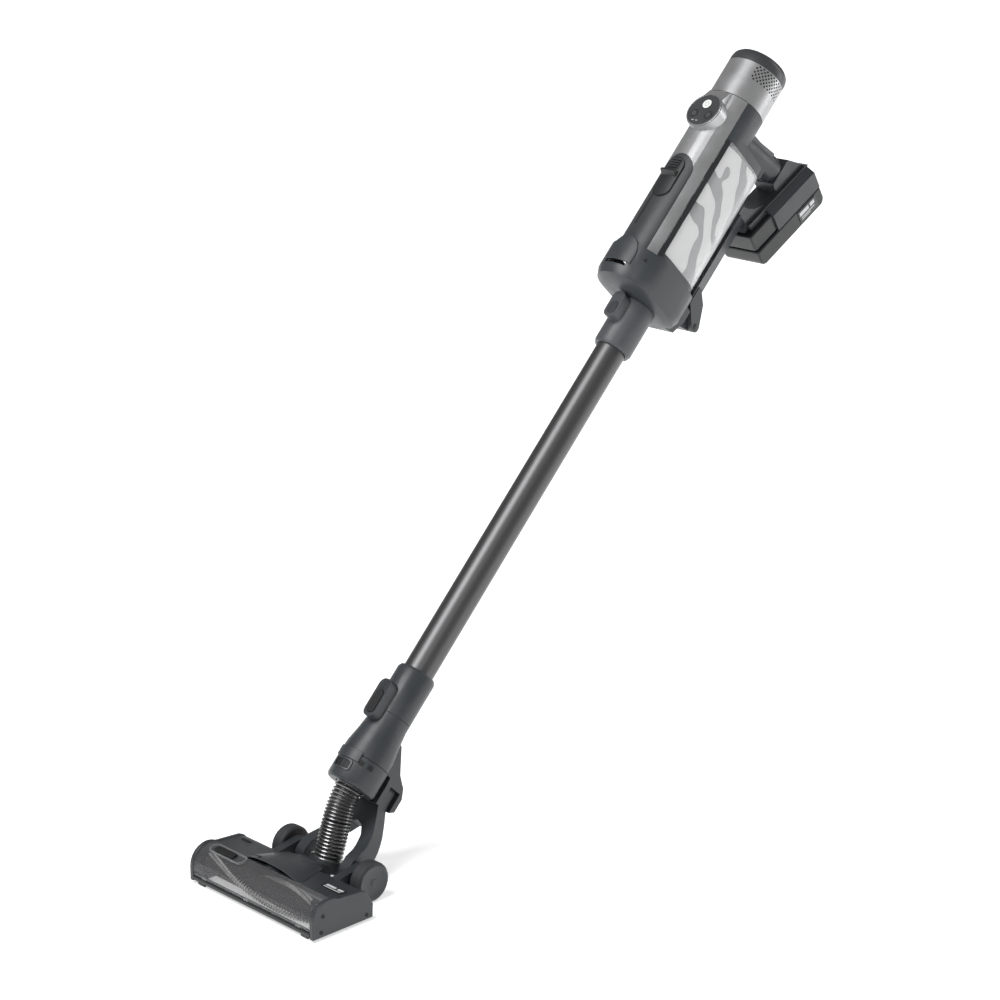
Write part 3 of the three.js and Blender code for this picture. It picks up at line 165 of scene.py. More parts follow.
def soften(piece, radius, turn=34):
    """Rounds the sharp edges and shades the rest smooth."""
    piece.data.polygons.foreach_set("use_smooth", [True] * len(piece.data.polygons))
    if not radius:
        piece.data.set_sharp_from_angle(angle=math.radians(turn))
    else:
        edge = piece.modifiers.new("rounded edges", "BEVEL")
        edge.width = radius * mm
        edge.segments = 2
        edge.limit_method = "ANGLE"
        edge.angle_limit = math.radians(turn)
        edge.harden_normals = True
    return piece


def dress(node, material, radius=0.5, turn=34):
    """Gives a CAD node its finish: welded, its flats joined, its edges rounded."""
    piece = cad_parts[node]
    piece.data.materials.clear()
    piece.data.materials.append(material)
    if "custom_normal" in piece.data.attributes:
        piece.data.attributes.remove(piece.data.attributes["custom_normal"])
    weld = piece.modifiers.new("weld", "WELD")
    weld.merge_threshold = 0.005 * mm
    flats = piece.modifiers.new("flats", "DECIMATE")
    flats.decimate_type = "DISSOLVE"
    flats.angle_limit = math.radians(1)
    return soften(piece, radius, turn)


slate = moulded("slate_plastic", (0.031, 0.0355, 0.039), 0.4)
black_plastic = moulded("black_plastic", (0.011, 0.012, 0.013), 0.4)
dress("head_housing", slate, 0.8)


def make(name, shape, material, body, at=Matrix.Identity(4), radius=0.0, hides=()):
    """Finishes a new piece: places it, closes it, and lets it ride on its CAD body."""
    bmesh.ops.transform(shape, matrix=at, verts=shape.verts[:])
    bmesh.ops.recalc_face_normals(shape, faces=shape.faces[:])
    mesh = bpy.data.meshes.new(name)
    shape.to_mesh(mesh)
    shape.free()
    mesh.materials.append(material)
    piece = bpy.data.objects.new(name, mesh)
    scene.collection.objects.link(piece)
    soften(piece, radius)
    if body:
        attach(piece, body)
    if hides:
        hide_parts(*hides)
    return piece


# ---------------------------------------------------------------- Head deck details
# A plain raised badge plate; a thin dark plate at the left, painted shade for a small sunk slot
# for the window's catch;
# and a dark plate low under the cowl, painted shade for the half-round finger recess in the
# cowl's front lip. Moulded or pressed in.
printed_white = moulded("printed_white", (0.55, 0.56, 0.57), 0.4, relief=0.03)
# This near-black colours black parts, and also thin dark plates that are painted shade for
# slots, gaps, recesses and vent holes.
black_and_painted_shade = moulded("black_and_painted_shade", (0.004, 0.004, 0.0045), 0.6, relief=0.05)


def plate(shape, width, length, thick, corner, at=Matrix.Identity(4)):
    """A flat plate with round corners, lying in XY with its underside at Z = 0."""
    size = Matrix.Diagonal((width * mm, length * mm, thick * mm, 1))
    lift = Matrix.Translation((0, 0, thick / 2 * mm))
    made = bmesh.ops.create_cube(shape, size=1, matrix=at @ lift @ size)["verts"]
    tall = (at.to_3x3() @ Vector((0, 0, 1))).normalized()
    uprights = [e for e in {e for v in made for e in v.link_edges}
                if abs((e.verts[0].co - e.verts[1].co).normalized().dot(tall)) > 0.9]
    bmesh.ops.bevel(shape, geom=uprights, offset=corner * mm, segments=4, profile=0.5,
                    affect="EDGES", material=-1)


on_deck = (Matrix.Translation((0, 7 * mm, 40.4 * mm))
           @ Matrix.Rotation(math.radians(-4.6), 4, "X"))
badge = bmesh.new()
plate(badge, 35, 11.5, 0.5, 2.5, on_deck @ Matrix.Translation((84 * mm, 0, 0)))
make("badge_plate", badge, black_and_painted_shade, "floor_head", radius=0.12)
badge_print = bmesh.new()
for across, wide, deep, up in ((-6, 16, 4.2, 1.8), (9.5, 9, 4.2, 1.8), (0, 28, 1.6, -2.9)):
    plate(badge_print, wide, deep, 0.06, 0.6,
          on_deck @ Matrix.Translation(((84 + across) * mm, up * mm, 0.49 * mm)))
make("badge_print", badge_print, printed_white, "floor_head")
# Painted shade: a thin dark plate on the deck stands for the sunk slot.
deck_slot_shade = bmesh.new()
plate(deck_slot_shade, 17, 5, 0.3, 2.4, on_deck @ Matrix.Translation((-86 * mm, 12.5 * mm, -0.1 * mm)))
make("deck_slot_shade", deck_slot_shade, black_and_painted_shade, "floor_head")
# Painted shade: a dark plate under the cowl stands for the dark hollow of the recess.
recess_shade = bmesh.new()
plate(recess_shade, 42, 22, 0.8, 5, Matrix.Translation((0, 2 * mm, 36 * mm)))
make("cowl_recess_shade", recess_shade, black_and_painted_shade, "floor_head")

# ---------------------------------------------------------------- Cowl
# A shallow hood that widens from the hose's socket to the brush window, snapped over
# the duct. A thin dark plate on its front edge, left of the middle, is painted shade for a
# finger recess.
hood = bmesh.new()
bmesh.ops.create_grid(hood, x_segments=20, y_segments=12, size=1)
for vert in hood.verts:
    across, along = vert.co.x, (vert.co.y + 1) / 2
    half = 50 - 20 * along ** 1.4
    rise = 1 - abs(across) ** 2.6
    forward = -16.5 + 53 * along
    deck = 41.6 - 0.08 * forward
    crown = 8.4 - 6.4 * along ** 2
    vert.co = (across * half * mm, forward * mm, (deck + crown * rise) * mm)
bmesh.ops.recalc_face_normals(hood, faces=hood.faces[:])
bmesh.ops.solidify(hood, geom=hood.faces[:], thickness=1.2 * mm)
make("cowl_hood", hood, slate, "floor_head", radius=0.3)
# Painted shade: a flat dark plate stands for the finger recess.
finger_shade = bmesh.new()
plate(finger_shade, 20, 8, 0.5, 3.9, Matrix.Translation((-31 * mm, -12 * mm, 47.7 * mm))
      @ Matrix.Rotation(math.radians(-13), 4, "Y"))
make("finger_recess_shade", finger_shade, black_and_painted_shade, "floor_head")

# ---------------------------------------------------------------- Brush window
# A clear, slightly smoked polycarbonate cover over the brush. A black slide at its top
# left holds it, in a raised oval frame; a bright rail with three lugs seals its lower edge.


def clear_plastic(name, colour, alpha, edge_alpha, roughness=0.07):
    """Clear moulding: thin face on, denser where it turns away, faintly rippled."""
    material = bpy.data.materials.new(name)
    material.use_nodes = True
    nodes, link = material.node_tree.nodes, material.node_tree.links.new
    shader = nodes["Principled BSDF"]
    shader.inputs["IOR"].default_value = 1.5
    place = nodes.new("ShaderNodeTexCoord").outputs["Object"]
    ripple = nodes.new("ShaderNodeTexNoise")
    ripple.inputs["Scale"].default_value = 60
    link(place, ripple.inputs["Vector"])
    bump = nodes.new("ShaderNodeBump")
    bump.inputs["Strength"].default_value = 0.08
    bump.inputs["Distance"].default_value = 0.5 * mm
    link(ripple.outputs["Fac"], bump.inputs["Height"])
    link(bump.outputs["Normal"], shader.inputs["Normal"])
    tint = nodes.new("ShaderNodeMix")
    tint.data_type = "RGBA"
    tint.inputs["A"].default_value = (*[c * 0.9 for c in colour], 1)
    tint.inputs["B"].default_value = (*colour, 1)
    link(ripple.outputs["Fac"], tint.inputs["Factor"])
    link(tint.outputs["Result"], shader.inputs["Base Color"])
    gloss = nodes.new("ShaderNodeMapRange")
    gloss.inputs["To Min"].default_value = roughness * 0.6
    gloss.inputs["To Max"].default_value = roughness * 1.6
    link(ripple.outputs["Fac"], gloss.inputs["Value"])
    link(gloss.outputs["Result"], shader.inputs["Roughness"])
    facing = nodes.new("ShaderNodeLayerWeight")
    facing.inputs["Blend"].default_value = 0.4
    cover = nodes.new("ShaderNodeMapRange")
    cover.inputs["To Min"].default_value = alpha
    cover.inputs["To Max"].default_value = edge_alpha
    link(facing.outputs["Facing"], cover.inputs["Value"])
    link(cover.outputs["Result"], shader.inputs["Alpha"])
    return material


window_axis = Vector((0, -21 * mm, 20.5 * mm))
smoky = clear_plastic("smoky_window", (0.16, 0.16, 0.165), 0.1, 0.6)
dress("brush_window", smoky, 0.15)
dress("window_latch", black_and_painted_shade, 0.6)


def axes(right, up, out, at=(0, 0, 0)):
    """The matrix that lays X, Y and Z along right, up and out."""
    return Matrix.Translation(at) @ Matrix((right, up, out)).transposed().to_4x4()


def wrapped(shape, radius):
    """Rolls a flat shape round a drum along Y, so that X runs round it and Z points out."""
    left, right = min(v.co.x for v in shape.verts), max(v.co.x for v in shape.verts)
    cuts = math.ceil((right - left) / (3 * mm))
    for cut in range(1, cuts):
        bmesh.ops.bisect_plane(shape, geom=shape.verts[:] + shape.edges[:] + shape.faces[:],
                               plane_co=(left + (right - left) * cut / cuts, 0, 0),
                               plane_no=(1, 0, 0))
    for vert in shape.verts:
        turn = vert.co.x / (radius * mm)
        out = radius * mm + vert.co.z
        vert.co = (out * math.sin(turn), vert.co.y, out * math.cos(turn))
    return shape


def open_frame(width, length, wall, thick, corner):
    """A flat frame with round corners: a plate whose middle is cut through."""
    shape = bmesh.new()
    plate(shape, width, length, thick, corner)
    flats = [f for f in shape.faces if len(f.verts) > 4]
    bmesh.ops.inset_individual(shape, faces=flats, thickness=wall * mm, use_even_offset=True)
    rims = list({e for f in flats for e in f.edges})
    bmesh.ops.delete(shape, geom=flats, context="FACES_ONLY")
    bmesh.ops.bridge_loops(shape, edges=rims)
    return shape


latch_turn = math.radians(102)
on_window = axes((0, -math.sin(latch_turn), math.cos(latch_turn)), (1, 0, 0),
                 (0, math.cos(latch_turn), math.sin(latch_turn)), window_axis)
clear_trim = clear_plastic("clear_trim", (0.3, 0.31, 0.32), 0.14, 0.8, 0.08)
frame_ring = wrapped(open_frame(15, 60, 1.6, 2.2, 7), 24.5)
make("latch_frame", frame_ring, clear_trim, "floor_head",
     on_window @ Matrix.Translation((0, -62 * mm, 0)), radius=0.3)
rail_turn = math.radians(200)
on_rail = axes((0, -math.sin(rail_turn), math.cos(rail_turn)), (1, 0, 0),
               (0, math.cos(rail_turn), math.sin(rail_turn)), window_axis)
rail = bmesh.new()
plate(rail, 3.4, 206, 1.0, 0.9)
for along in (-84, -8, 84):
    plate(rail, 6.5, 9, 1.9, 2, Matrix.Translation((1.0 * mm, along * mm, 0)))
make("window_rail", wrapped(rail, 24.4), clear_trim, "floor_head", on_rail, radius=0.25)

# ---------------------------------------------------------------- End plates
# A flat moulded plate closes each end of the brush chamber. Three screws hold it,
# sunk in small round wells; each is drawn as a black disc on the plate, which paints the shade
# of its well.
screw_seats = ((-31.0, 28.3), (32.6, 9.0), (-34.0, 9.5))
for side, plate_name in ((1, "right"), (-1, "left")):
    dress(f"end_plate_{plate_name}", slate, 1.6)
    # The black screw discs are painted shade for the wells the screws sit in.
    screws = bmesh.new()
    for forward, up in screw_seats:
        face = axes((0, side, 0), (0, 0, 1), (side, 0, 0),
                    (side * 110 * mm, forward * mm, up * mm))
        head = bmesh.ops.create_cone(screws, cap_ends=True, segments=24, radius1=2.5 * mm,
                                     radius2=2.3 * mm, depth=0.6 * mm)["verts"]
        top = [f for f in screws.faces if all(v in head and v.co.z > 0 for v in f.verts)]
        rim = bmesh.ops.inset_individual(screws, faces=top, thickness=0.5 * mm)["faces"]
        dip = bmesh.ops.inset_individual(screws, faces=top, thickness=0.2 * mm,
                                         depth=-0.4 * mm)["faces"]
        made = {v for f in rim + dip + top for v in f.verts} | set(head)
        bmesh.ops.transform(screws, matrix=face @ Matrix.Translation((0, 0, 0.28 * mm)),
                            verts=list(made))
    make(f"end_screws_and_well_shade_{plate_name}", screws, black_and_painted_shade, "floor_head")

# ---------------------------------------------------------------- Brush roll
# A dark moulded roller with two spirals of tufted nylon bristle, each tuft leaning
# against the next, turned by a toothed belt from its own motor.
bristle = moulded("nylon_bristle", (0.42, 0.42, 0.41), 0.6, grain=0.35, relief=0.5, mottle=0.2)
steel = moulded("turned_steel", (0.42, 0.43, 0.44), 0.32, grain=1.2, relief=0.05, metallic=1.0)
rubber = moulded("soft_rubber", (0.03, 0.031, 0.033), 0.62, grain=0.8, relief=0.2)
core_black = moulded("core_black", (0.012, 0.012, 0.013), 0.75, grain=3.0, relief=0.02)
dress("brush_core", core_black, 0.15)
for start, spiral in ((20, 1), (200, 2)):
    tufts = bmesh.new()
    for step in range(44):
        along = step * 4.05
        turn = math.radians(start + 200 * along / 197.4)
        root = Matrix.Translation(window_axis + Vector(((along - 93) * mm, 0, 0)))
        stand = root @ Matrix.Rotation(turn + math.pi, 4, "X")
        for row in (-1, 1):
            lean = Matrix.Rotation(row * math.radians(30), 4, "Y")
            at = (stand @ Matrix.Translation((0, row * 1.5 * mm, 14.8 * mm)) @ lean)
            bmesh.ops.create_cone(tufts, cap_ends=True, segments=7, radius1=0.9 * mm,
                                  radius2=1.6 * mm, depth=6.2 * mm, matrix=at)
    make(f"bristle_tufts_{spiral}", tufts, bristle, "brush",
         hides=(f"bristle_strip_{spiral}",))
for node in ("brush_bearing_right", "brush_bearing_left", "brush_motor", "brush_pulley",
             "motor_pulley"):
    dress(node, steel, 0.2)
dress("drive_belt", rubber, 0.2)

# ---------------------------------------------------------------- Sole, front strip, rollers
# The screwed-on sole frames the suction mouth. A soft strip runs along the front edge,
# and two small rollers keep it off the floor.
dress("sole_plate", black_plastic, 0.4)
dress("front_strip", black_plastic, 0.8)
for side in ("right", "left"):
    dress(f"front_roller_{side}", rubber, 0.3)

# ---------------------------------------------------------------- Wheels
# Wide moulded wheels with a soft tread, on steel axles. A flat disc with a rim and a
# small cap closes each outer face.


def turned(profile, steps, closed=False):
    """A new shape: a profile of (radius, height) points, spun round Z."""
    shape = bmesh.new()
    line = [shape.verts.new((radius * mm, 0, height * mm)) for radius, height in profile]
    pairs = list(zip(line, line[1:])) + [(line[-1], line[0])] * closed
    edges = [shape.edges.new(pair) for pair in pairs]
    bmesh.ops.spin(shape, geom=line + edges, axis=(0, 0, 1), cent=(0, 0, 0), steps=steps,
                   angle=math.tau, use_merge=True)
    bmesh.ops.remove_doubles(shape, verts=shape.verts[:], dist=0.001 * mm)
    return shape


for side, wheel in ((1, "right"), (-1, "left")):
    dress(f"wheel_{wheel}", rubber, 1.2)
    dress(f"axle_{wheel}", steel, 0.2)
    disc = turned([(0, 0.9), (4.2, 0.9), (4.8, 0.3), (17.4, 0.3), (18.2, 0.8), (20.4, 0.8),
                   (21.2, 0)], 48)
    face = axes((0, side, 0), (0, 0, 1), (side, 0, 0), (side * 78 * mm, 72 * mm, 24 * mm))
    make(f"wheel_disc_{wheel}", disc, slate, f"wheel_{wheel}", face)

# ---------------------------------------------------------------- Yoke
# The fork that joins the neck to the floor head, moulded in one piece. Its arms end in
# bosses round the tilt axle.
dress("yoke", slate, 1.0)

# ---------------------------------------------------------------- Hose
# A short ribbed hose of dark flexible plastic over a wire, its crests lightened and made
# metallic as a painted highlight.
# It is made in two halves, fixed where they are built.


def sweep(shape, stations, segments, shine):
    """Carries a ring along stations, each a (matrix, highlight) pair, and stores each ring's
    painted highlight weight.
    """
    first = bmesh.ops.create_circle(shape, segments=segments, radius=1, matrix=stations[0][0])
    ring = first["verts"]
    rings = [ring]
    for (before, _), (after, _) in zip(stations, stations[1:]):
        edges = list({e for v in ring for e in v.link_edges if e.verts[0] in ring
                      and e.verts[1] in ring})
        grown = bmesh.ops.extrude_edge_only(shape, edges=edges)["geom"]
        ring = [g for g in grown if isinstance(g, bmesh.types.BMVert)]
        bmesh.ops.transform(shape, matrix=after @ before.inverted(), verts=ring)
        rings.append(ring)
    for ring, (_, crest_highlight) in zip(rings, stations):
        for vert in ring:
            vert[shine] = crest_highlight


hose_material = moulded("ribbed_hose", (0.012, 0.012, 0.013), 0.27, relief=0.04)
hose_nodes = hose_material.node_tree
hose_shader = hose_nodes.nodes["Principled BSDF"]
# This attribute paints a highlight on the rib crests: a lighter colour and full metal there.
crest_highlight_value = hose_nodes.nodes.new("ShaderNodeAttribute")
crest_highlight_value.attribute_name = "crest_highlight"
hose_nodes.links.new(crest_highlight_value.outputs["Fac"], hose_shader.inputs["Metallic"])
crest_highlight_tint = hose_nodes.nodes.new("ShaderNodeMix")
crest_highlight_tint.data_type = "RGBA"
crest_highlight_tint.inputs["B"].default_value = (0.2, 0.2, 0.205, 1)
old_tint = hose_shader.inputs["Base Color"].links[0].from_socket
hose_nodes.links.new(old_tint, crest_highlight_tint.inputs["A"])
hose_nodes.links.new(crest_highlight_value.outputs["Fac"], crest_highlight_tint.inputs["Factor"])
hose_nodes.links.new(crest_highlight_tint.outputs["Result"], hose_shader.inputs["Base Color"])
hose_route = [Vector(p) * mm for p in ((0, 68, 25), (0, 82.98, 62.09), (0, 83.64, 86.44),
                                       (0, 108.65, 112.33))]


def hose_point(t):
    return (hose_route[0] * (1 - t) ** 3 + hose_route[1] * 3 * t * (1 - t) ** 2
            + hose_route[2] * 3 * t * t * (1 - t) + hose_route[3] * t ** 3)


def hose_station(t, radius):
    along = hose_point(min(t + 0.001, 1)) - hose_point(t - 0.001)
    turn = Matrix.Rotation(-math.atan2(along.y, along.z), 4, "X")
    return Matrix.Translation(hose_point(t)) @ turn @ Matrix.Scale(radius * mm, 4)


hose_pitches = 11
# Each rib step: where along the pitch, the radius in mm, and the painted highlight weight on the
# crest.
rib = ((0.0, 15.2, 0.0), (0.14, 15.4, 0.0), (0.26, 16.8, 0.8), (0.5, 17.4, 1.0),
       (0.74, 16.8, 0.8), (0.86, 15.4, 0.0))
for half, begin, finish_at, lower, upper in (("lower", 0.02, 0.497, "floor_head", "yoke"),
                                             ("upper", 0.503, 0.98, "yoke", "neck")):
    hose = bmesh.new()
    crest_highlight_layer = hose.verts.layers.float.new("crest_highlight")
    stations = []
    for pitch in range(hose_pitches):
        for part, radius, crest_highlight in rib:
            t = begin + (finish_at - begin) * (pitch + part) / hose_pitches
            stations.append((hose_station(t, radius), crest_highlight))
    stations.append((hose_station(finish_at, 14.9), 0.0))
    for back in range(13):
        t = finish_at + (begin - finish_at) * back / 12
        stations.append((hose_station(t, 14.1), 0.0))
    sweep(hose, stations, 40, crest_highlight_layer)
    ends = [e for e in hose.edges if e.is_boundary]
    bmesh.ops.bridge_loops(hose, edges=ends)
    piece = make(f"hose_{half}_ribbed", hose, hose_material, None,
                 hides=(f"hose_{half}",))
    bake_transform(piece)
for node in ("hose_lower", "hose_upper"):
    dress(node, hose_material, 0.15)

# ---------------------------------------------------------------- Neck
# The swivelling neck: a moulded shell over the duct, with a separate cuff at its mouth.
# A small spring clip on the cuff's front lets the hose off.
wand_frame = (Matrix.Translation((0, 0.072, 0.024)) @ Matrix.Rotation(math.radians(-44), 4, "X")
              @ Matrix.Translation((0, -0.035, 0)))
dress("neck_shell", slate, 0.9)
dress("neck_cuff", slate, 0.9)
dress("swivel_pin", steel, 0.3)
to_front = axes((1, 0, 0), (0, 0, 1), (0, -1, 0))
clip_flap = bmesh.new()
plate(clip_flap, 36, 13, 2.0, 1.2)
make("cuff_flap", wrapped(clip_flap, 30.9), slate, "neck",
     wand_frame @ Matrix.Translation((0, 0, 115 * mm)) @ to_front, radius=0.5)
clip_loop = open_frame(26, 14, 2.2, 1.6, 3.5)
make("cuff_loop", wrapped(clip_loop, 30.9), slate, "neck",
     wand_frame @ Matrix.Translation((0, 0, 101 * mm)) @ to_front, radius=0.4)
# Painted shade: thin dark plates stand for the gaps inside the clip's loop.
clip_gap_shade = bmesh.new()
for across in (-6, 6):
    plate(clip_gap_shade, 8, 8.6, 0.3, 1.2, Matrix.Translation((across * mm, 0, 0)))
make("cuff_gap_shade", wrapped(clip_gap_shade, 30.9), black_and_painted_shade, "neck",
     wand_frame @ Matrix.Translation((0, 0, 101 * mm)) @ to_front)
to_side = Matrix.Rotation(math.radians(52), 4, "Z") @ to_front
# Painted shade: thin dark plates stand for two notches in the cuff's side.
notch_shade = bmesh.new()
for across in (-6, 6):
    plate(notch_shade, 6.5, 6, 0.35, 1, Matrix.Translation((across * mm, 0, 0)))
make("cuff_notch_shade", wrapped(notch_shade, 30.9), black_and_painted_shade, "neck",
     wand_frame @ Matrix.Translation((0, 0, 110 * mm)) @ to_side)

# ---------------------------------------------------------------- Wand
# A drawn aluminium tube, anodised dark and brushed lengthwise, between two moulded
# collars. Each collar has a spring button in a raised housing.
anodised = moulded("anodised_tube", (0.1, 0.1, 0.102), 0.36, grain=0.3, relief=0.04,
                   metallic=0.85)
tube_nodes = anodised.node_tree
lengthwise = tube_nodes.nodes.new("ShaderNodeMapping")
lengthwise.vector_type = "TEXTURE"
lengthwise.inputs["Rotation"].default_value = (math.radians(-44), 0, 0)
lengthwise.inputs["Scale"].default_value = (1, 1, 60)
for node in tube_nodes.nodes:
    if node.type == "TEX_COORD":
        tube_nodes.links.new(node.outputs["Object"], lengthwise.inputs["Vector"])
for node in [n for n in tube_nodes.nodes if n.type == "TEX_NOISE"]:
    tube_nodes.links.new(lengthwise.outputs["Vector"], node.inputs["Vector"])
dress("wand_tube", anodised, 0.15)
collar_grey = moulded("collar_grey", (0.055, 0.059, 0.064), 0.42)
dress("lower_collar", slate, 0.9)
dress("upper_collar", collar_grey, 0.9)
dress("lower_latch_button", black_and_painted_shade, 0.6)
dress("upper_latch_button", slate, 0.6)
button_edge = bmesh.new()
for step in (-1, 0, 1):
    plate(button_edge, 1.3, 12, 2.2, 0.6, wand_frame
          @ Matrix.Translation((3.4 * step * mm, -35.6 * mm, 203 * mm)) @ to_front)
make("lower_latch_hooks", button_edge, slate, "wand", radius=0.2)

# ---------------------------------------------------------------- Barrel and track
# The silver-painted upper moulding of the handheld unit, with a dark insert let into
# its front as the track of the slider that ejects the dust pod.
unit_frame = wand_frame @ Matrix.Translation((0, 0, 0.813))
silver = moulded("silver_paint", (0.4, 0.402, 0.408), 0.36, grain=0.25, relief=0.05,
                 mottle=0.03, metallic=0.8)
dress("body_shell", silver, 0.5)
dress("chassis", slate, 0.7)
track_grey = moulded("track_grey", (0.032, 0.034, 0.037), 0.4)
dress("track_insert", track_grey, 0.5)
dress("pod_slider", black_plastic, 0.5)
# Painted shade: a thin dark strip stands for the slot in the track.
slot_shade = bmesh.new()
plate(slot_shade, 3.2, 38, 0.1, 1.5,
      unit_frame @ Matrix.Translation((-9 * mm, -68.42 * mm, 48 * mm)) @ to_front)
make("track_slot_shade", slot_shade, black_and_painted_shade, "main_unit")
slider_ribs = bmesh.new()
for step in range(4):
    plate(slider_ribs, 15, 1.6, 0.6, 0.75,
          unit_frame @ Matrix.Translation((0, -73.4 * mm, (113 + 3.6 * step) * mm)) @ to_front)
make("slider_ribs", slider_ribs, track_grey, "pod_slider", radius=0.2)

barrel_axis = unit_frame @ Matrix.Translation((0, -31 * mm, 0))
for side in (1, -1):
    rail = bmesh.new()
    plate(rail, 6.6, 173, 0.8, 1.2)
    wrapped(rail, 38.0)
    make(f"side_rail_{'right' if side > 0 else 'left'}", rail, black_plastic, "main_unit",
         barrel_axis @ Matrix.Translation((0, 0, 91 * mm))
         @ Matrix.Rotation(side * math.radians(66), 4, "Z") @ to_front, radius=0.15)

# ---------------------------------------------------------------- Control panel
# A round black panel in a bright turned ring. A white power button and two black ones
# stand a little proud, with plain printed marks.
chrome = moulded("chrome_ring", (0.4, 0.4, 0.41), 0.32, grain=0.6, relief=0.02, metallic=1.0)
panel_black = moulded("panel_black", (0.04, 0.042, 0.044), 0.35)
dress("panel_ring", chrome, 0.3)
dress("panel_face", panel_black, 0.3)
button_white = moulded("button_white", (0.75, 0.75, 0.74), 0.4, relief=0.04)
button_grey = moulded("button_grey", (0.028, 0.03, 0.032), 0.35)
dress("power_button", button_white, 0.3)
dress("boost_button", button_grey, 0.3)
dress("eco_button", button_grey, 0.3)
board_green = moulded("board_green", (0.02, 0.09, 0.04), 0.45)
dress("circuit_board", board_green, 0.15)
printed_grey = moulded("printed_grey", (0.16, 0.165, 0.17), 0.4, relief=0.03)


def thin_ring(shape, radius, width, thick, at):
    """A flat thin ring, for printed marks and for the painted shade of grooves."""
    start = len(shape.verts)
    line = [shape.verts.new((x * mm, 0, z * mm)) for x, z in (
        (radius, 0), (radius, thick), (radius - width, thick), (radius - width, 0))]
    edges = [shape.edges.new((line[i - 1], line[i])) for i in range(4)]
    bmesh.ops.spin(shape, geom=line + edges, axis=(0, 0, 1), cent=(0, 0, 0), steps=36,
                   angle=math.tau, use_merge=True)
    bmesh.ops.transform(shape, matrix=at, verts=shape.verts[start:])


for rides, across, along, radius in (("boost_button", 11.5, 189.6, 2.2),
                                     ("eco_button", -11.5, 189.6, 2.2),
                                     ("power_button", 0, 205, 3.0)):
    marks = bmesh.new()
    at = (unit_frame @ Matrix.Translation((across * mm, -77.58 * mm, along * mm)) @ to_front)
    thin_ring(marks, radius, 0.5, 0.06, at)
    bmesh.ops.remove_doubles(marks, verts=marks.verts[:], dist=0.001 * mm)
    make(f"{rides}_mark", marks, printed_grey, rides)
# Painted shade: thin black rings stand for the grooves round the three buttons.
groove_shade = bmesh.new()
for across, along, radius in ((11.5, 189.6, 6.0), (-11.5, 189.6, 6.0), (0, 205, 7.2)):
    thin_ring(groove_shade, radius, 0.7, 0.05,
              unit_frame @ Matrix.Translation((across * mm, -77 * mm, along * mm)) @ to_front)
bmesh.ops.remove_doubles(groove_shade, verts=groove_shade.verts[:], dist=0.001 * mm)
make("panel_groove_shade", groove_shade, black_and_painted_shade, "main_unit")
lights = bmesh.new()
for across in (-2, -8):
    plate(lights, 3.4, 0.9, 0.06, 0.4,
          unit_frame @ Matrix.Translation((across * mm, -76.99 * mm, 180 * mm)) @ to_front)
make("panel_lights", lights, printed_white, "main_unit")

# ---------------------------------------------------------------- Front cap
# The cap that closes the dust pod and takes the wand. It hinges on a steel pin under
# the unit and locks with a spring latch on top; a rubber seal backs its inlet.
dress("front_cap", slate, 1.2)
dress("cap_latch", slate, 0.8)
dress("inlet_seal", rubber, 0.3)
dress("cap_hinge_pin", steel, 0.3)
pin_head = turned([(0, 1.2), (3.4, 1.2), (4.4, 0.7), (4.4, 0)], 32)
make("hinge_pin_head", pin_head, black_plastic, "main_unit",
     unit_frame @ axes((0, 0, 1), (0, -1, 0), (1, 0, 0), (19.6 * mm, 86 * mm, -14 * mm)))

cap_mark = bmesh.new()
bmesh.ops.create_cone(cap_mark, cap_ends=True, segments=3, radius1=3.2 * mm, radius2=3.0 * mm,
                      depth=0.5 * mm)
make("cap_open_mark", cap_mark, black_and_painted_shade, "front_cap",
     barrel_axis @ Matrix.Rotation(math.radians(47), 4, "Z")
     @ Matrix.Translation((0, -44 * mm, -14 * mm)) @ to_front)

# ---------------------------------------------------------------- Dust pod
# A clear window guards the side of the pod, a white bag-holding cartridge printed with
# a plain grey wave pattern. A pleated paper filter sits behind it.
pod_print = moulded("pod_print", (0.78, 0.78, 0.77), 0.4, relief=0.03)
print_nodes = pod_print.node_tree
print_shader = print_nodes.nodes["Principled BSDF"]
along_unit = print_nodes.nodes.new("ShaderNodeMapping")
along_unit.vector_type = "TEXTURE"
along_unit.inputs["Rotation"].default_value = (math.radians(-44), 0, 0)
place = [n for n in print_nodes.nodes if n.type == "TEX_COORD"][0]
print_nodes.links.new(place.outputs["Object"], along_unit.inputs["Vector"])
waves = print_nodes.nodes.new("ShaderNodeTexWave")
waves.bands_direction = "DIAGONAL"
waves.inputs["Scale"].default_value = 10
waves.inputs["Distortion"].default_value = 7
waves.inputs["Detail"].default_value = 1.5
waves.inputs["Detail Scale"].default_value = 1.4
print_nodes.links.new(along_unit.outputs["Vector"], waves.inputs["Vector"])
ink = print_nodes.nodes.new("ShaderNodeValToRGB")
ink.color_ramp.elements[0].position = 0.3
ink.color_ramp.elements[0].color = (0.13, 0.13, 0.135, 1)
ink.color_ramp.elements[1].position = 0.33
ink.color_ramp.elements[1].color = (0.8, 0.8, 0.79, 1)
print_nodes.links.new(waves.outputs["Fac"], ink.inputs["Fac"])
print_nodes.links.new(ink.outputs["Color"], print_shader.inputs["Base Color"])
dress("dust_pod", pod_print, 0.4)
dress("pod_window", clear_plastic("clear_window", (0.7, 0.71, 0.72), 0.07, 0.75, 0.06), 0.15)
filter_paper = moulded("filter_paper", (0.7, 0.68, 0.62), 0.8, relief=0.3)
dress("filter", filter_paper, 0.15)

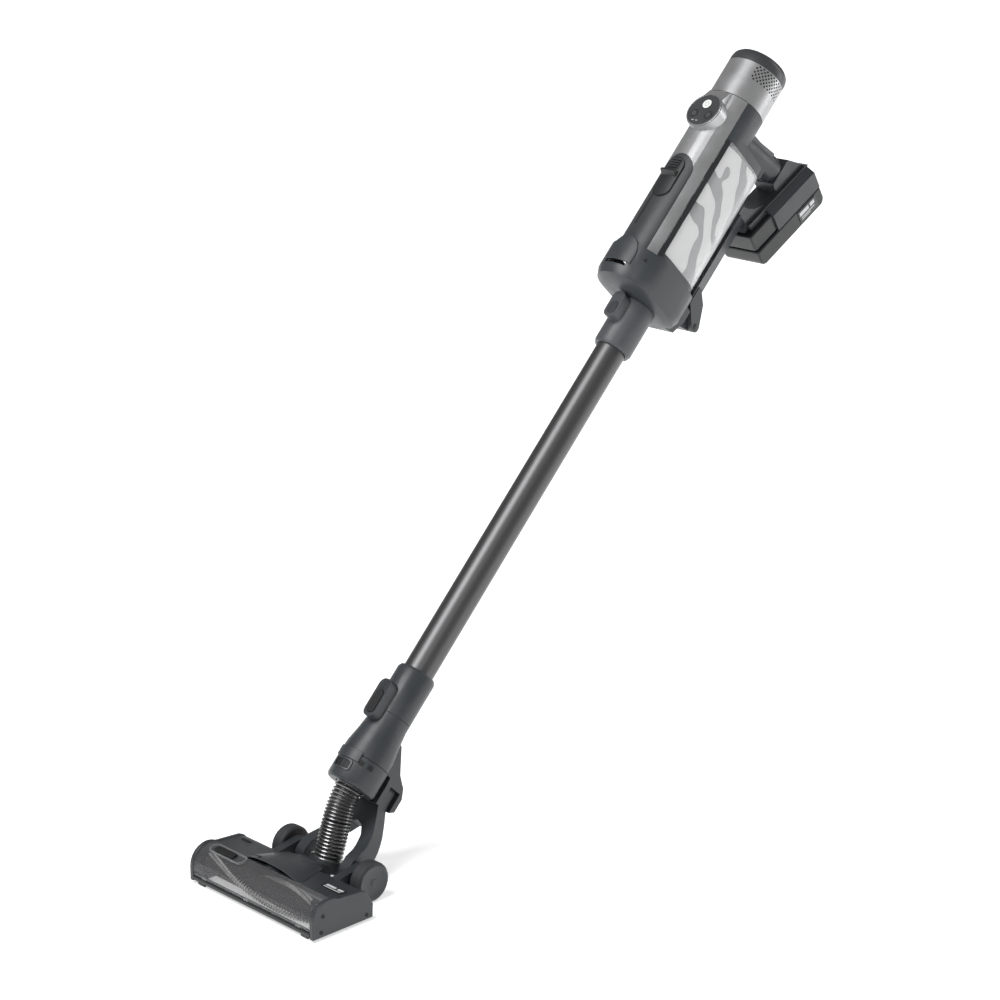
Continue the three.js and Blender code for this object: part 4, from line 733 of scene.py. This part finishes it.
# ---------------------------------------------------------------- Motor housing
# A silver sleeve round the suction motor, pierced on both sides by staggered rows of
# fine round vents over a black sleeve that is painted shade for the inside of the vents. A dark
# cap closes the rear.
housing = bmesh.new()
around, vent_low, vent_rows, vent_step = 84, 261.0, 7, 3.0
levels = [232.3, 233.2, 246.0] + [vent_low + vent_step * i for i in range(vent_rows + 1)] + [283]
rings = [bmesh.ops.create_circle(housing, segments=around, radius=38 * mm,
                                 matrix=Matrix.Translation((0, 0, level * mm)))["verts"]
         for level in levels]
for first, second in zip(rings, rings[1:]):
    loops = [e for ring in (first, second) for v in ring for e in v.link_edges
             if e.other_vert(v) in ring]
    bmesh.ops.bridge_loops(housing, edges=list(set(loops)))
pierced = []
for face in housing.faces:
    centre = face.calc_center_median()
    level = (centre.z / mm - vent_low) / vent_step
    column = math.degrees(math.atan2(centre.x, -centre.y)) / (360 / around)
    if 0 < level < vent_rows and 40 < abs(column) * 360 / around < 116:
        if (int(level) + int(math.floor(column))) % 2 == 0:
            pierced.append(face)
bmesh.ops.inset_individual(housing, faces=pierced, thickness=0.2 * mm)
corners = {e for f in pierced for e in f.edges}
middles = [f.calc_center_median() for f in pierced]
bmesh.ops.subdivide_edges(housing, edges=list(corners), cuts=1)
for face, centre in zip(pierced, middles):
    for vert in face.verts:
        vert.co = centre + (vert.co - centre).normalized() * 1.32 * mm
bmesh.ops.delete(housing, geom=pierced, context="FACES")
bmesh.ops.recalc_face_normals(housing, faces=housing.faces[:])
bmesh.ops.solidify(housing, geom=housing.faces[:], thickness=0.9 * mm)
make("vented_housing", housing, silver, "main_unit", barrel_axis,
     hides=("motor_housing",))
dress("motor_housing", silver, 0.3)
# Painted shade: a black sleeve behind the vents makes the holes read dark.
vent_shade_sleeve = turned([(36.6, 236), (36.6, 282), (35.0, 282), (35.0, 236)], 48, closed=True)
make("vent_liner_shade", vent_shade_sleeve, black_and_painted_shade, "main_unit", barrel_axis)
dress("suction_motor", steel, 0.3)
dress("motor_fan", black_plastic, 0.2)
cap_black = moulded("cap_black", (0.035, 0.036, 0.039), 0.4)
dress("end_cap", cap_black, 1.0)

# ---------------------------------------------------------------- Handle
# Two moulded half shells, joined down the middle and screwed from the left, make the
# grip, the shoe over the battery and the bridge down to the spine.
for side in ("right", "left"):
    dress(f"grip_{side}", slate, 1.8)

# ---------------------------------------------------------------- Battery
# A slide-in pack in a black case, with a release button at its rear. The label on its
# side is a plain printed plate with bars in place of words.
battery_frame = (unit_frame @ Matrix.Translation((0, 0.126, 0.108))
                 @ Matrix.Rotation(math.radians(-15.5), 4, "X"))
battery_black = moulded("battery_black", (0.013, 0.014, 0.0155), 0.38)
dress("battery_case", battery_black, 0.7)
pack = bmesh.new()
for half, deep, centre, end_rounding in ((31, 23, -11.5, 9), (28.4, 24, -35.5, 4)):
    verts = bmesh.ops.create_cube(pack, size=1)["verts"]
    bmesh.ops.scale(pack, verts=verts, vec=(2 * half * mm, deep * mm, 136 * mm))
    bmesh.ops.translate(pack, verts=verts, vec=(0, centre * mm, 68 * mm))
    ends = list({e for v in verts for e in v.link_edges
                 if abs(e.verts[0].co.z - e.verts[1].co.z) < mm
                 and abs(e.verts[0].co.y - e.verts[1].co.y) < mm
                 and e.verts[0].co.y > centre * mm})
    bmesh.ops.bevel(pack, geom=ends, offset=end_rounding * mm, segments=6, profile=0.5,
                    affect="EDGES", material=-1)
make("battery_shell", pack, battery_black, "battery", battery_frame, radius=2.5,
     hides=("battery_case",))
dress("battery_release", slate, 0.5)
cell_blue = moulded("cell_wrap", (0.05, 0.11, 0.2), 0.4)
dress("battery_cells", cell_blue, 0.15)
dress("battery_label", panel_black, 0.15)
label_side = battery_frame @ axes((0, 0, 1), (0, -1, 0), (1, 0, 0),
                                  (31.78 * mm, -12.5 * mm, 103 * mm))
label_print = bmesh.new()
for along, wide, deep, up in ((-7, 19, 5, 2.6), (10, 9, 5, 2.6), (-1, 28, 1.2, -2.6),
                              (-6, 18, 1.0, -5.0)):
    plate(label_print, wide, deep, 0.07, 0.45,
          label_side @ Matrix.Translation((along * mm, up * mm, 0)))
make("label_print", label_print, printed_white, "battery")
